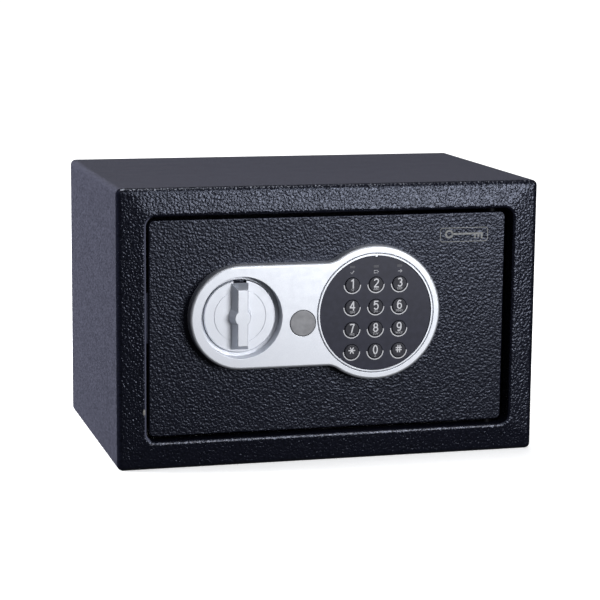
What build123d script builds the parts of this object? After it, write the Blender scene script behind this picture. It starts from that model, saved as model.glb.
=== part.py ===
from build123d import *
import math
import os

# In room safe. Millimetres. Origin: centre of the underside of the cabinet.
# +X to the right of someone facing the door, +Y to the back, +Z up.

# ---------------------------------------------------------------- cabinet
WIDTH = 310.0
DEPTH = 200.0
HEIGHT = 200.0
FRONT = -DEPTH / 2
BACK = DEPTH / 2
BODY_SHEET = 1.5
BODY_BEND_R = 4.0
FRAME_SHEET = 2.0
FRAME_RIM_DEPTH = 4.4
FRAME_EDGE_R = 3.6
SEAM_CHAMFER = 0.4
OPENING_WIDTH = 271.0
OPENING_HEIGHT = 160.0
OPENING_BOTTOM = 20.0
OPENING_MID_X = 1.25  # towards the hinges, where the door's edge swings past
OPENING_MID_Z = OPENING_BOTTOM + OPENING_HEIGHT / 2
OPENING_CORNER_R = 7.0
OPENING_EDGE_R = 2.6
LIP_END = FRONT + 13.0
BACK_EDGE_R = 1.0
DOOR_STOP_REACH = 8.0
DOOR_STOP_LENGTH = 36.0
DOOR_STOP_GAP = 0.4

ANCHOR_HOLE_R = 5.0
ANCHOR_SPACING = 160.0
FLOOR_ANCHOR_Y = 20.0
BACK_ANCHOR_Z = 100.0
MAT_THICKNESS = 3.0
MAT_MARGIN = 3.0
MAT_HOLE_R = 9.0
MAT_CORNER_R = 5.0
MAT_FRONT_GAP = 5.0

# ---------------------------------------------------------------- door
DOOR_GAP_X = 3.75
DOOR_GAP_Z = 3.0
DOOR_THICKNESS = 3.0
DOOR_FRONT = FRONT + 4.7
DOOR_BACK = DOOR_FRONT + DOOR_THICKNESS
DOOR_WIDTH = OPENING_WIDTH - 2 * DOOR_GAP_X
DOOR_HEIGHT = OPENING_HEIGHT - 2 * DOOR_GAP_Z
DOOR_RIGHT = DOOR_WIDTH / 2
DOOR_CORNER_R = 3.8
DOOR_EDGE_R = 0.8

# hinge axis: as far behind the door's face as it is in from the door's edge,
# so the edge sweeps past the frame inside the gap
HINGE_INSET = 8.0
HINGE_X = DOOR_RIGHT - HINGE_INSET
HINGE_Y = DOOR_FRONT + HINGE_INSET
HINGE_PIN_R = 3.0
HINGE_PIN_LENGTH = 23.5
HINGE_PIN_TOP_Z = 185.5
HINGE_FIT = 0.08
HINGE_BLOCK_HALF = 4.5
HINGE_BLOCK_LENGTH = 21.0
BRACKET_SHEET = 2.5
BRACKET_HALF_LENGTH = 12.0
BRACKET_HEIGHT = 12.0
BRACKET_REACH = 8.0
HINGE_BLOCK_INSET = 1.0
HINGE_BLOCK_ROUND = 3.7
PIN_CHAMFER = 0.5
PIN_RELIEF = 1.0

# ---------------------------------------------------------------- bezel and controls
CONTROL_Z = 107.7
KNOB_X = -67.1
KEYPAD_X = 31.2
BEZEL_FRONT = DOOR_FRONT - 10.2
BEZEL_KEYPAD_R = 48.5
BEZEL_KNOB_R = 37.2
BEZEL_NECK_FILLET_R = 15.0
BEZEL_EDGE_R = 1.8
BEZEL_FACE = 2.5
BEZEL_WALL = 2.2
KNOB_WELL_R = 29.2
WELL_EDGE_R = 0.35
WELL_WALL = 1.6
KEYPAD_WELL_R = 43.5
KEYPAD_LEDGE_R = 40.5
KEYPAD_LEDGE = 2.0

RING_R = 43.1
RING_INNER_R = 41.7
RING_PROUD = 0.35
RING_EDGE_R = 0.6
PANEL_R = 41.45
PANEL_FRONT = BEZEL_FRONT + 0.5
PANEL_THICKNESS = 1.8
PANEL_EDGE_R = 0.3
PANEL_BACK = PANEL_FRONT + PANEL_THICKNESS
TONGUE_WIDTH = 1.5
TONGUE_DEPTH = 1.2
TONGUE_CLEARANCE = 0.7

KEY_PITCH_X = 17.6
KEY_PITCH_Z = 16.15
KEY_TOP_ROW_Z = 20.7
KEY_R = 5.35
KEY_HOLE_R = 5.7
KEY_PROUD = 0.9
KEY_EDGE_R = 0.8
KEY_FLANGE_R = 6.3
KEY_FLANGE = 0.8
KEY_FLANGE_PLAY = 0.1
KEY_STEM = 0.9
KEY_STEM_R = 3.0
KEY_NAMES = ["1", "2", "3", "4", "5", "6", "7", "8", "9", "star", "0", "hash"]
LIGHT_WIDTH = 4.0
LIGHT_HEIGHT = 2.0
LIGHT_CORNER_R = 0.4
LIGHT_LIP = 0.3
LIGHT_Z = CONTROL_Z + 33.7
LIGHT_CLEARANCE = 0.1

KEYMAT_FRONT = PANEL_BACK + 2.7
KEYMAT_THICKNESS = 0.6
BOARD_THICKNESS = 1.6
KEYPAD_BOARD_R = 38.5
KEYPAD_CABLE_HOLE_R = 9.0

BOSS_R = 3.0
BOSS_PILOT_R = 1.4
BOSS_ANGLE = 145.0
BOSS_REACH = 33.3
BOSS_NECK_X = -24.8
BOSS_NECK_RISE = 28.0
SCREW_SHANK_R = 1.4
SCREW_HEAD_R = 3.2
SCREW_HEAD_HEIGHT = 1.8
SCREW_CLEAR_R = 1.8
SCREW_HEAD_EDGE_R = 0.8
CROSS_WIDTH = 0.8
CROSS_LENGTH = 3.6
CROSS_DEPTH = 0.9
BEZEL_SCREW_LENGTH = 8.5
COVER_SCREW_LENGTH = 9.0
POST_PILOT_DEPTH = 12.0

# ---------------------------------------------------------------- knob and crank
KNOB_DISC_R = 26.0
KNOB_DISC_FRONT = DOOR_FRONT - 3.2
KNOB_DISC_THICKNESS = 2.3
KNOB_EDGE_R = 0.7
KNOB_GROOVE_R = 18.7
KNOB_GROOVE_WIDTH = 0.7
KNOB_GROOVE_DEPTH = 0.5
GRIP_HEIGHT = 9.5
GRIP_FRONT_HALF_WIDTH = 3.6
GRIP_FRONT_HALF_LENGTH = 20.0
GRIP_BASE_HALF_WIDTH = 6.3
GRIP_BASE_HALF_LENGTH = 24.0
GRIP_EDGE_R = 0.5
GRIP_ROOT = 0.5
GRIP_BOSS_FRONT_R = 5.6
GRIP_BOSS_BASE_R = 8.4
POINTER_NOTCH_WIDTH = 9.6
POINTER_NOTCH_OVERLAP = 0.3
SPINDLE_R = 5.0
SPINDLE_FIT = 0.05
SOCKET_FIT = 0.05
SPINDLE_SOCKET_DEPTH = 7.5
RIVET_HEAD_R = 6.2
RIVET_HEAD_HEIGHT = 1.6
RIVET_HEAD_EDGE_R = 1.2
BUSH_R = 8.0
BUSH_FLANGE_R = 11.0
BUSH_FLANGE = 0.7
BUSH_BEHIND_DOOR = 0.5
CRANK_FRONT = DOOR_BACK + 0.8
CRANK_THICKNESS = 4.0
CRANK_BACK = CRANK_FRONT + CRANK_THICKNESS
CRANK_HUB_R = 9.0
CRANK_LOBE_R = 6.0
CRANK_RADIUS = 12.0
CRANK_PIN_R = 3.0
CRANK_PIN_PROUD = 1.5
KNOB_TURN = 80.0
CRANK_REST_ANGLE = KNOB_TURN / 2
BOLT_THROW = 2 * CRANK_RADIUS * math.sin(math.radians(CRANK_REST_ANGLE))

# ---------------------------------------------------------------- bolt work
BOLT_R = 7.0
BOLT_FIT = 0.25
BOLT_Y = DOOR_BACK + 14.3
BOLT_SPREAD = 35.0
BOLT_TIP_X = -DOOR_RIGHT + 4.0
BOLT_TIP_CHAMFER = 1.0
WEB_FRONT = DOOR_BACK + 11.3
WEB_THICKNESS = 2.5
WEB_BACK = WEB_FRONT + WEB_THICKNESS
WEB_MID = (WEB_FRONT + WEB_BACK) / 2
WEB_LEFT = -101.0
WEB_RIGHT = -33.0
WEB_BOTTOM = 84.0
WEB_TOP = 131.0
FLANGE_THICKNESS = 3.0
FLANGE_FRONT = DOOR_BACK + 6.3
FLANGE_BACK = DOOR_BACK + 22.3
FLANGE_MARGIN = 10.0
CRANK_SLOT_PLAY = 0.45
CRANK_SLOT_END = 1.0
BOLT_SCREW_R = 2.4
BOLT_SCREW_HEAD_R = 4.3
BOLT_SCREW_HEAD = 3.0
BOLT_SCREW_LENGTH = 10.0
BOLT_SCREW_BORE = 12.0
BOLT_SCREW_HEXAGON_R = 2.0
BOLT_SCREW_HEXAGON_DEPTH = 1.8
GUIDE_X = -124.0
GUIDE_SHEET = 2.5
GUIDE_FOOT = 12.0
GUIDE_MARGIN_Z = 13.0
GUIDE_MARGIN_Y = 3.0
GUIDE_SLOT_PLAY = 0.3
STUD_R = 2.5
STUD_SHOULDER_R = 4.5
STUD_PLAY = 0.3
STUD_HEAD = 2.0
STUD_HEAD_EDGE_R = 0.8
STUD_Z = 90.0
STUD_XS = [-85.0, -55.0]

# ---------------------------------------------------------------- solenoid
SOLENOID_X = -46.0
PLUNGER_R = 3.0
PLUNGER_FIT = 0.1
PLUNGER_TIP_Z = WEB_TOP + 4.6
COLLAR_R = 5.5
COLLAR_Z = 137.6
COLLAR_THICKNESS = 1.0
SOLENOID_BOTTOM = 146.0
SOLENOID_HEIGHT = 22.0
SOLENOID_HALF_WIDTH = 10.0
SOLENOID_HALF_DEPTH = 8.5
SOLENOID_SHEET = 1.5
SOLENOID_FOOT_INSET_X = 4.0
SOLENOID_FOOT_INSET_Z = 2.0
COIL_R = 7.8
WINDING_R = 7.0
COIL_CHEEK = 1.0
PLUNGER_TOP_Z = 162.0
PLUNGER_TOP_GAP = 0.3
PLUNGER_CHAMFER = 0.6
TOOTH_GAP = 3.6
TOOTH_WIDTH = 6.0
TOOTH_HEIGHT = 4.0
TOOTH_ROOT = 1.0
SPRING_WIRE_R = 0.4
SPRING_R = 4.2
SPRING_TURNS = 5

# ---------------------------------------------------------------- emergency lock
LOCK_X = -22.8
LOCK_Z = 102.3
CAP_R = 9.2
CAP_WELL_R = 9.5
CAP_PROUD = 0.3
CAP_THICKNESS = 2.0
CAP_SPIGOT_R = 6.5
CAP_SPIGOT_WALL = 1.0
CAP_SPIGOT_REACH = 1.2
CAP_EDGE_R = 0.6
CAP_SEAT_PLAY = 0.3
CAP_SEAT_DEPTH = 1.5
LOCK_BODY_R = 8.0
LOCK_BODY_PLAY = 0.2
LOCK_FRONT = BEZEL_FRONT + 3.4
LOCK_BACK = WEB_BACK + 0.3
LOCK_PLUG_R = 5.0
LOCK_PLUG_INSET = 1.7
LOCK_PLUG_PROUD = 0.3
LOCK_FIT = 0.08
KEYWAY_WIDTH = 1.6
KEYWAY_HEIGHT = 6.5
KEYWAY_DEPTH = 9.0
NUT_FLATS_R = 10.0
NUT_THICKNESS = 3.3
CAM_THICKNESS = 2.0
CAM_REACH = 29.0
CAM_TIP_R = 4.0
CAM_HUB_R = 6.5
CAM_REST_ANGLE = 27.0

# ---------------------------------------------------------------- inner cover, battery, board
COVER_LEFT = -120.0
COVER_RIGHT = 106.0
COVER_BOTTOM = 30.0
COVER_TOP = 172.0
COVER_BACK = DOOR_BACK + 31.8
COVER_SHEET = 1.5
COVER_CORNER_R = 6.0
COVER_EDGE_R = 1.2
COVER_BOLT_HOLE_R = BOLT_R + 0.8
POST_R = 4.0
POST_INSET = 11.5

BATTERY_R = 7.2
BATTERY_LENGTH = 49.0
BATTERY_NUB_R = 2.7
BATTERY_NUB = 1.4
BATTERY_COUNT = 4
BATTERY_PITCH = 14.8
BATTERY_MID_X = 69.5
BATTERY_BOX_WALL = 1.5
BATTERY_RIB_WIDTH = 1.0
BATTERY_RIB_HEIGHT = 2.5
BATTERY_RIB_INSET = 8.5
BATTERY_PLAY = 0.1
BATTERY_EDGE_R = 0.6
BATTERY_BOX_BOTTOM = 98.0
BATTERY_BOX_TOP = 156.0
BATTERY_BOX_FRONT = COVER_BACK - COVER_SHEET - 18.0
BATTERY_BOX_WIDTH = BATTERY_COUNT * BATTERY_PITCH + 2 * BATTERY_BOX_WALL + 0.8
CONTACT_THICKNESS = 0.4
CONTACT_HALF_WIDTH = 5.0
CONTACT_BASE_R = 4.5
CONTACT_TIP_R = 2.2
CONTACT_PLAY = 0.1
LID_GAP = 0.4
LID_CORNER_R = 1.5
LID_LATCH_ROOT = 2.0
LID_LATCH_WIDTH = 12.0
LID_LATCH_REACH = 2.6
LID_LATCH_THICKNESS = 0.6
LID_LATCH_PLAY = 0.1
LID_BEAD_R = 1.0
LID_BEAD_FIT = 0.15
LID_BEAD_HALF_LENGTH = 22.0
LID_RIB_COUNT = 4
LID_RIB_PITCH = 2.4
LID_RIB_HALF_LENGTH = 9.0
LID_RIB_HEIGHT = 0.8
LID_RIB_WIDTH = 1.0
LID_RIB_INSET = 8.0

BOARD_LEFT = 2.0
BOARD_RIGHT = 84.0
BOARD_BOTTOM = 36.0
BOARD_TOP = 84.0
BOARD_FRONT = DOOR_BACK + 4.3
BOARD_BACK = BOARD_FRONT + BOARD_THICKNESS
BOARD_CORNER_R = 1.5
SPACER_R = 2.8
SPACER_INSET = 5.0
SPACER_NECK_R = 1.7
SPACER_HEAD_R = 2.4
SPACER_HEAD = 1.6
SPACER_HEAD_CHAMFER = 0.9
CONNECTOR_DEPTH = 6.0
CONNECTOR_TOP = 80.0
CONNECTOR_HEIGHT = 6.0
CONNECTOR_WIDTH = 8.0
KEYPAD_CONNECTOR_WIDTH = 12.0
BUZZER_X = 18.0
BUZZER_Z = 58.0
BUZZER_R = 6.0
BUZZER_HOLE_R = 1.0
BUZZER_HEIGHT = 7.0
BUZZER_EDGE_R = 0.6
BUZZER_HOLE_DEPTH = 3.0
CHIP_X = 37.0
CHIP_Z = 55.0
CHIP_WIDTH = 14.0
CHIP_HEIGHT = 10.0
CHIP_THICKNESS = 2.4
SWITCH_WIDTH = 8.0
SWITCH_HEIGHT = 5.0
CAPACITOR_XS = [52.0, 60.0]
CAPACITOR_Z = 46.0
CAPACITOR_R = 3.0
CAPACITOR_HEIGHT = 9.0
CAPACITOR_EDGE_R = 0.5
LEAD_Y = BOARD_BACK + CONNECTOR_DEPTH / 2
RESET_X = 74.0
RESET_Z = 56.0
RESET_R = 4.0
RESET_HOLE_R = 4.4
RESET_FLANGE_R = 6.0
RESET_FLANGE = 1.3
RESET_STEM_R = 2.2
RESET_PROUD = 2.2
RESET_TRAVEL = 1.5
RESET_PLAY = 0.1
RESET_END_GAP = 0.2
RESET_EDGE_R = 1.0
LEAD_R = 0.8
KEYPAD_LEAD_R = 1.3
BATTERY_LEAD_X = 60.0
SOLENOID_LEAD_Z = 158.0
SOLENOID_LEAD_RUN = 18.0


# ---------------------------------------------------------------- helpers
def block(x0, x1, y0, y1, z0, z1):
    """Box between two corners."""
    return Pos(x0, y0, z0) * Box(x1 - x0, y1 - y0, z1 - z0, align=(Align.MIN, Align.MIN, Align.MIN))


def rod_x(radius, x0, x1, y, z):
    """Round bar along X."""
    return Pos((x0 + x1) / 2, y, z) * Rot(0, 90, 0) * Cylinder(radius, x1 - x0)


def rod_y(radius, x, y0, y1, z):
    """Round bar along Y."""
    return Pos(x, (y0 + y1) / 2, z) * Rot(90, 0, 0) * Cylinder(radius, y1 - y0)


def rod_z(radius, x, y, z0, z1):
    """Round bar along Z."""
    return Pos(x, y, (z0 + z1) / 2) * Cylinder(radius, z1 - z0)


def front_sketch(sketch, y):
    """Lays a sketch drawn in X and Z on the plane at depth y."""
    plane = Plane(origin=(0, y, 0), x_dir=(1, 0, 0), z_dir=(0, -1, 0))
    return plane * sketch


def plate(sketch, y0, y1):
    """Plate between two depths from a sketch drawn in X and Z."""
    return extrude(front_sketch(sketch, y1), amount=y1 - y0)


def at(x, z, sketch):
    """Moves a sketch drawn in X and Z."""
    return Pos(x, z) * sketch


def frame_outline(inset=0.0, radius=BODY_BEND_R):
    """Outline of the cabinet seen from the front."""
    return at(0, HEIGHT / 2, RectangleRounded(WIDTH - 2 * inset, HEIGHT - 2 * inset, radius))


def opening_outline(grow=0.0):
    """Outline of the door opening."""
    outline = RectangleRounded(OPENING_WIDTH + 2 * grow, OPENING_HEIGHT + 2 * grow, OPENING_CORNER_R + grow)
    return at(OPENING_MID_X, OPENING_MID_Z, outline)


def edges_at_depth(part, y):
    """Edges that lie wholly at one depth."""
    return part.edges().filter_by_position(Axis.Y, y - 0.01, y + 0.01)


# ---------------------------------------------------------------- cabinet pieces
def make_body_wrap():
    """Top, sides and floor, folded from one sheet."""
    start = FRONT + FRAME_RIM_DEPTH
    end = BACK - BODY_SHEET
    outer = plate(frame_outline(), start, end)
    outer = chamfer(edges_at_depth(outer, start), SEAM_CHAMFER)
    hollow = plate(frame_outline(BODY_SHEET, BODY_BEND_R - BODY_SHEET), start, end)
    wrap = outer - hollow
    for x in (-ANCHOR_SPACING / 2, ANCHOR_SPACING / 2):
        wrap -= rod_z(ANCHOR_HOLE_R, x, FLOOR_ANCHOR_Y, -1, BODY_SHEET + 1)
    return wrap


def make_back_panel():
    panel = plate(frame_outline(), BACK - BODY_SHEET, BACK)
    panel = fillet(edges_at_depth(panel, BACK), BACK_EDGE_R)
    for x in (-ANCHOR_SPACING / 2, ANCHOR_SPACING / 2):
        panel -= rod_y(ANCHOR_HOLE_R, x, BACK - BODY_SHEET - 1, BACK + 1, BACK_ANCHOR_Z)
    return panel


def make_front_frame():
    """Folded pan with a return all round the door opening."""
    rim_end = FRONT + FRAME_RIM_DEPTH
    pan = plate(frame_outline(), FRONT, rim_end)
    pan = fillet(edges_at_depth(pan, FRONT), FRAME_EDGE_R)
    pan = chamfer(edges_at_depth(pan, rim_end), SEAM_CHAMFER)
    inner_r = BODY_BEND_R - FRAME_SHEET
    pan -= plate(frame_outline(FRAME_SHEET, inner_r), FRONT + FRAME_SHEET, rim_end)
    pan += plate(opening_outline(FRAME_SHEET), FRONT + FRAME_SHEET, LIP_END)
    pan -= plate(opening_outline(), FRONT, LIP_END)
    mouth = edges_at_depth(pan, FRONT)
    mouth = mouth.filter_by(lambda edge: abs(edge.center().X - OPENING_MID_X) < OPENING_WIDTH / 2 + 1)
    mouth = mouth.filter_by(lambda edge: abs(edge.center().Z - OPENING_MID_Z) < OPENING_HEIGHT / 2 + 1)
    pan = fillet(mouth, OPENING_EDGE_R)
    half = HINGE_PIN_R + PIN_RELIEF
    pan -= block(HINGE_X - half, HINGE_X + half, HINGE_Y - half, LIP_END + 1, 0, HEIGHT)
    return pan + make_door_stop()


def make_hinge_brackets():
    """Two angle plates behind the frame that take the hinge pins."""
    x0 = HINGE_X - BRACKET_HALF_LENGTH
    x1 = HINGE_X + BRACKET_HALF_LENGTH
    y0 = FRONT + FRAME_SHEET
    z0 = OPENING_MID_Z + OPENING_HEIGHT / 2 + FRAME_SHEET
    upper = block(x0, x1, y0, HINGE_Y + BRACKET_REACH, z0, z0 + BRACKET_SHEET)
    upper += block(x0, x1, y0, y0 + BRACKET_SHEET, z0, z0 + BRACKET_HEIGHT)
    upper -= rod_z(HINGE_PIN_R + HINGE_FIT, HINGE_X, HINGE_Y, z0 - 1, z0 + BRACKET_SHEET + 1)
    return [upper, mirror_in_opening(upper)]


def mirror_in_opening(part):
    """Mirror image about the door's mid height."""
    return mirror(part, about=Plane(origin=(0, 0, OPENING_MID_Z), x_dir=(1, 0, 0), z_dir=(0, 0, 1)))


def make_door_stop():
    """Tab on the lock side of the frame that the closed door comes to rest on."""
    opening_left = OPENING_MID_X - OPENING_WIDTH / 2
    x0 = opening_left - FRAME_SHEET
    x1 = opening_left + DOOR_STOP_REACH
    y0 = DOOR_BACK + DOOR_STOP_GAP
    half = DOOR_STOP_LENGTH / 2
    tab = block(x0, x1, y0, y0 + FRAME_SHEET, CONTROL_Z - half, CONTROL_Z + half)
    return fillet(tab.edges().filter_by(Axis.Y).group_by(Axis.X)[-1], FRAME_SHEET)


def make_floor_mat():
    x = WIDTH / 2 - BODY_SHEET - MAT_MARGIN
    y0 = LIP_END + MAT_FRONT_GAP
    mat = block(-x, x, y0, BACK - BODY_SHEET - MAT_MARGIN, BODY_SHEET, BODY_SHEET + MAT_THICKNESS)
    mat = fillet(mat.edges().filter_by(Axis.Z), MAT_CORNER_R)
    for hole_x in (-ANCHOR_SPACING / 2, ANCHOR_SPACING / 2):
        mat -= rod_z(MAT_HOLE_R, hole_x, FLOOR_ANCHOR_Y, 0, 2 * MAT_THICKNESS)
    return mat


# ---------------------------------------------------------------- door pieces
def bezel_screw_places():
    """X and Z of the four bosses that hold the bezel on the door."""
    angle = math.radians(BOSS_ANGLE)
    x = KNOB_X + BOSS_REACH * math.cos(angle)
    rise = BOSS_REACH * math.sin(angle)
    left = [(x, CONTROL_Z + rise), (x, CONTROL_Z - rise)]
    neck = [(BOSS_NECK_X, CONTROL_Z + BOSS_NECK_RISE), (BOSS_NECK_X, CONTROL_Z - BOSS_NECK_RISE)]
    return left + neck


def make_door_plate():
    outline = at(0, OPENING_MID_Z, RectangleRounded(DOOR_WIDTH, DOOR_HEIGHT, DOOR_CORNER_R))
    door = plate(outline, DOOR_FRONT, DOOR_BACK)
    door = fillet(edges_at_depth(door, DOOR_FRONT), DOOR_EDGE_R)
    y0 = DOOR_FRONT - 1
    y1 = DOOR_BACK + 1
    door -= rod_y(BUSH_R, KNOB_X, y0, y1, CONTROL_Z)
    door -= rod_y(LOCK_BODY_R + LOCK_BODY_PLAY, LOCK_X, y0, y1, LOCK_Z)
    door -= rod_y(KEYPAD_CABLE_HOLE_R, KEYPAD_X, y0, y1, CONTROL_Z)
    for x, z in bezel_screw_places():
        door -= rod_y(SCREW_CLEAR_R, x, y0, y1, z)
    return door


def make_hinge_blocks():
    """Two bored blocks welded behind the door's hinge edge."""
    top = OPENING_MID_Z + DOOR_HEIGHT / 2 - HINGE_BLOCK_INSET
    half = HINGE_BLOCK_HALF
    upper = block(HINGE_X - half, HINGE_X + half, DOOR_BACK, HINGE_Y + half, top - HINGE_BLOCK_LENGTH, top)
    upper = fillet(upper.edges().filter_by(Axis.Z).group_by(Axis.Y)[-1], HINGE_BLOCK_ROUND)
    upper -= rod_z(HINGE_PIN_R, HINGE_X, HINGE_Y, HINGE_PIN_TOP_Z - HINGE_PIN_LENGTH, top + 1)
    return [upper, mirror_in_opening(upper)]


def make_hinge_pins():
    upper = rod_z(HINGE_PIN_R, HINGE_X, HINGE_Y, HINGE_PIN_TOP_Z - HINGE_PIN_LENGTH, HINGE_PIN_TOP_Z)
    upper = chamfer(upper.edges().group_by(Axis.Z)[-1], PIN_CHAMFER)
    return [upper, mirror_in_opening(upper)]


def bezel_outline(inset=0.0):
    """Large circle round the keypad, small circle round the knob, and a straight neck."""
    knob_r = BEZEL_KNOB_R - inset
    keypad_r = BEZEL_KEYPAD_R - inset
    corner_r = BEZEL_NECK_FILLET_R + inset
    # the concave corner circle touches the straight neck and the large circle
    rise = knob_r + corner_r
    run = math.sqrt((keypad_r + corner_r) ** 2 - rise**2)
    share = keypad_r / (keypad_r + corner_r)
    corner_x = KEYPAD_X - run
    touch_x = KEYPAD_X - run * share
    mid_angle = (math.radians(-90) + math.atan2(-rise, run)) / 2
    lines = []
    for side in (1, -1):
        neck_z = CONTROL_Z + side * knob_r
        touch = (touch_x, CONTROL_Z + side * rise * share)
        middle_rise = rise + corner_r * math.sin(mid_angle)
        middle = (corner_x + corner_r * math.cos(mid_angle), CONTROL_Z + side * middle_rise)
        lines.append(Line((KNOB_X, neck_z), (corner_x, neck_z)))
        lines.append(ThreePointArc((corner_x, neck_z), middle, touch))
    upper_touch = (touch_x, CONTROL_Z + rise * share)
    lower_touch = (touch_x, CONTROL_Z - rise * share)
    lines.append(ThreePointArc(upper_touch, (KEYPAD_X + keypad_r, CONTROL_Z), lower_touch))
    left = (KNOB_X - knob_r, CONTROL_Z)
    lines.append(ThreePointArc((KNOB_X, CONTROL_Z - knob_r), left, (KNOB_X, CONTROL_Z + knob_r)))
    return make_face(Curve() + lines)


def make_bezel():
    """Hollow moulding: wells for the knob, keypad and emergency lock, and four screw bosses."""
    bezel = plate(bezel_outline(), BEZEL_FRONT, DOOR_FRONT)
    bezel = fillet(edges_at_depth(bezel, BEZEL_FRONT), BEZEL_EDGE_R)
    bezel -= plate(bezel_outline(BEZEL_WALL), BEZEL_FRONT + BEZEL_FACE, DOOR_FRONT)
    bezel += rod_y(KNOB_WELL_R + WELL_WALL, KNOB_X, BEZEL_FRONT + BEZEL_FACE, DOOR_FRONT, CONTROL_Z)
    bezel -= rod_y(KNOB_WELL_R, KNOB_X, BEZEL_FRONT, DOOR_FRONT, CONTROL_Z)
    bezel -= rod_y(KEYPAD_WELL_R, KEYPAD_X, BEZEL_FRONT, BEZEL_FRONT + BEZEL_FACE, CONTROL_Z)
    bezel -= rod_y(CAP_WELL_R, LOCK_X, BEZEL_FRONT, BEZEL_FRONT + BEZEL_FACE, LOCK_Z)
    for radius, x in ((KNOB_WELL_R, KNOB_X), (KEYPAD_WELL_R, KEYPAD_X), (CAP_WELL_R, LOCK_X)):
        rim = edges_at_depth(bezel, BEZEL_FRONT).filter_by(GeomType.CIRCLE)
        rim = rim.filter_by(lambda edge: abs(edge.radius - radius) < 0.01)
        rim = rim.filter_by(lambda edge: abs(edge.arc_center.X - x) < 0.01)
        bezel = fillet(rim, WELL_EDGE_R)
    # ledge that carries the keypad panel and its ring from behind
    ledge_back = PANEL_BACK + KEYPAD_LEDGE
    ledge = rod_y(KEYPAD_WELL_R + WELL_WALL, KEYPAD_X, PANEL_BACK, ledge_back, CONTROL_Z)
    ledge -= rod_y(KEYPAD_LEDGE_R, KEYPAD_X, PANEL_BACK, ledge_back, CONTROL_Z)
    bezel += ledge
    for x, z in bezel_screw_places():
        bezel += rod_y(BOSS_R, x, BEZEL_FRONT + BEZEL_FACE, DOOR_FRONT, z)
        bezel -= rod_y(BOSS_PILOT_R, x, BEZEL_FRONT + BEZEL_FACE, DOOR_FRONT, z)
    # room for the lock body that stands up inside the neck
    bezel -= rod_y(LOCK_BODY_R + 2 * LOCK_BODY_PLAY, LOCK_X, BEZEL_FRONT + BEZEL_FACE, DOOR_FRONT, LOCK_Z)
    return bezel


def screw_y(x, z, head_back, length):
    """Pan head screw with a cross recess, driven towards the front."""
    under = head_back - SCREW_HEAD_HEIGHT
    head = rod_y(SCREW_HEAD_R, x, under, head_back, z)
    head = fillet(edges_at_depth(head, head_back), SCREW_HEAD_EDGE_R)
    cross = Rectangle(CROSS_WIDTH, CROSS_LENGTH) + Rectangle(CROSS_LENGTH, CROSS_WIDTH)
    head -= plate(at(x, z, cross), head_back - CROSS_DEPTH, head_back)
    return head + rod_y(SCREW_SHANK_R, x, under - length, under, z)


def make_bezel_screws():
    head_back = DOOR_BACK + SCREW_HEAD_HEIGHT
    return [screw_y(x, z, head_back, BEZEL_SCREW_LENGTH) for x, z in bezel_screw_places()]


def make_keypad_ring():
    """Thin bright ring round the keypad, with a tongue at the top that locates the panel."""
    y0 = BEZEL_FRONT - RING_PROUD
    ring = rod_y(RING_R, KEYPAD_X, y0, PANEL_BACK, CONTROL_Z)
    ring = fillet(edges_at_depth(ring, y0), RING_EDGE_R)
    ring -= rod_y(RING_INNER_R, KEYPAD_X, y0, PANEL_BACK, CONTROL_Z)
    top = CONTROL_Z + RING_INNER_R + 0.2
    half = TONGUE_WIDTH / 2
    front = (y0 + PANEL_FRONT) / 2
    tongue = block(KEYPAD_X - half, KEYPAD_X + half, front, PANEL_BACK, top - TONGUE_DEPTH, top)
    return ring + tongue


def column_places():
    """X of the three columns of keys, each with a status light above it."""
    return [KEYPAD_X + column * KEY_PITCH_X for column in (-1, 0, 1)]


def key_places():
    """X and Z of the keys, row by row from the top left."""
    top = CONTROL_Z + KEY_TOP_ROW_Z
    return [(x, top - row * KEY_PITCH_Z) for row in range(4) for x in column_places()]


def make_keypad_panel():
    panel = rod_y(PANEL_R, KEYPAD_X, PANEL_FRONT, PANEL_BACK, CONTROL_Z)
    panel = fillet(edges_at_depth(panel, PANEL_FRONT), PANEL_EDGE_R)
    for x, z in key_places():
        panel -= rod_y(KEY_HOLE_R, x, PANEL_FRONT, PANEL_BACK, z)
    grow = LIGHT_CLEARANCE
    for x in column_places():
        window = RectangleRounded(LIGHT_WIDTH + 2 * grow, LIGHT_HEIGHT + 2 * grow, LIGHT_CORNER_R + grow)
        panel -= plate(at(x, LIGHT_Z, window), PANEL_FRONT, PANEL_BACK)
    half = TONGUE_WIDTH / 2 + TONGUE_CLEARANCE
    top = CONTROL_Z + PANEL_R + 1
    low = CONTROL_Z + PANEL_R - TONGUE_DEPTH
    return panel - block(KEYPAD_X - half, KEYPAD_X + half, PANEL_FRONT, PANEL_BACK, low, top)


def make_key(x, z):
    """Round key with a softly domed top, a retaining flange and a stem."""
    top = PANEL_FRONT - KEY_PROUD
    flange_front = PANEL_BACK + KEY_FLANGE_PLAY
    flange_back = flange_front + KEY_FLANGE
    key = rod_y(KEY_R, x, top, flange_back, z)
    key = fillet(edges_at_depth(key, top), KEY_EDGE_R)
    key += rod_y(KEY_FLANGE_R, x, flange_front, flange_back, z)
    return key + rod_y(KEY_STEM_R, x, flange_back, flange_back + KEY_STEM, z)


def make_status_lights():
    """Three small windows that glow when the keypad is used."""
    lights = []
    for x in column_places():
        window = at(x, LIGHT_Z, RectangleRounded(LIGHT_WIDTH, LIGHT_HEIGHT, LIGHT_CORNER_R))
        flange = at(x, LIGHT_Z, Rectangle(LIGHT_WIDTH + 2 * LIGHT_LIP, LIGHT_HEIGHT + 2 * LIGHT_LIP))
        light = plate(window, PANEL_FRONT, PANEL_BACK)
        lights.append(light + plate(flange, PANEL_BACK, PANEL_BACK + KEY_FLANGE))
    return lights


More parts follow.
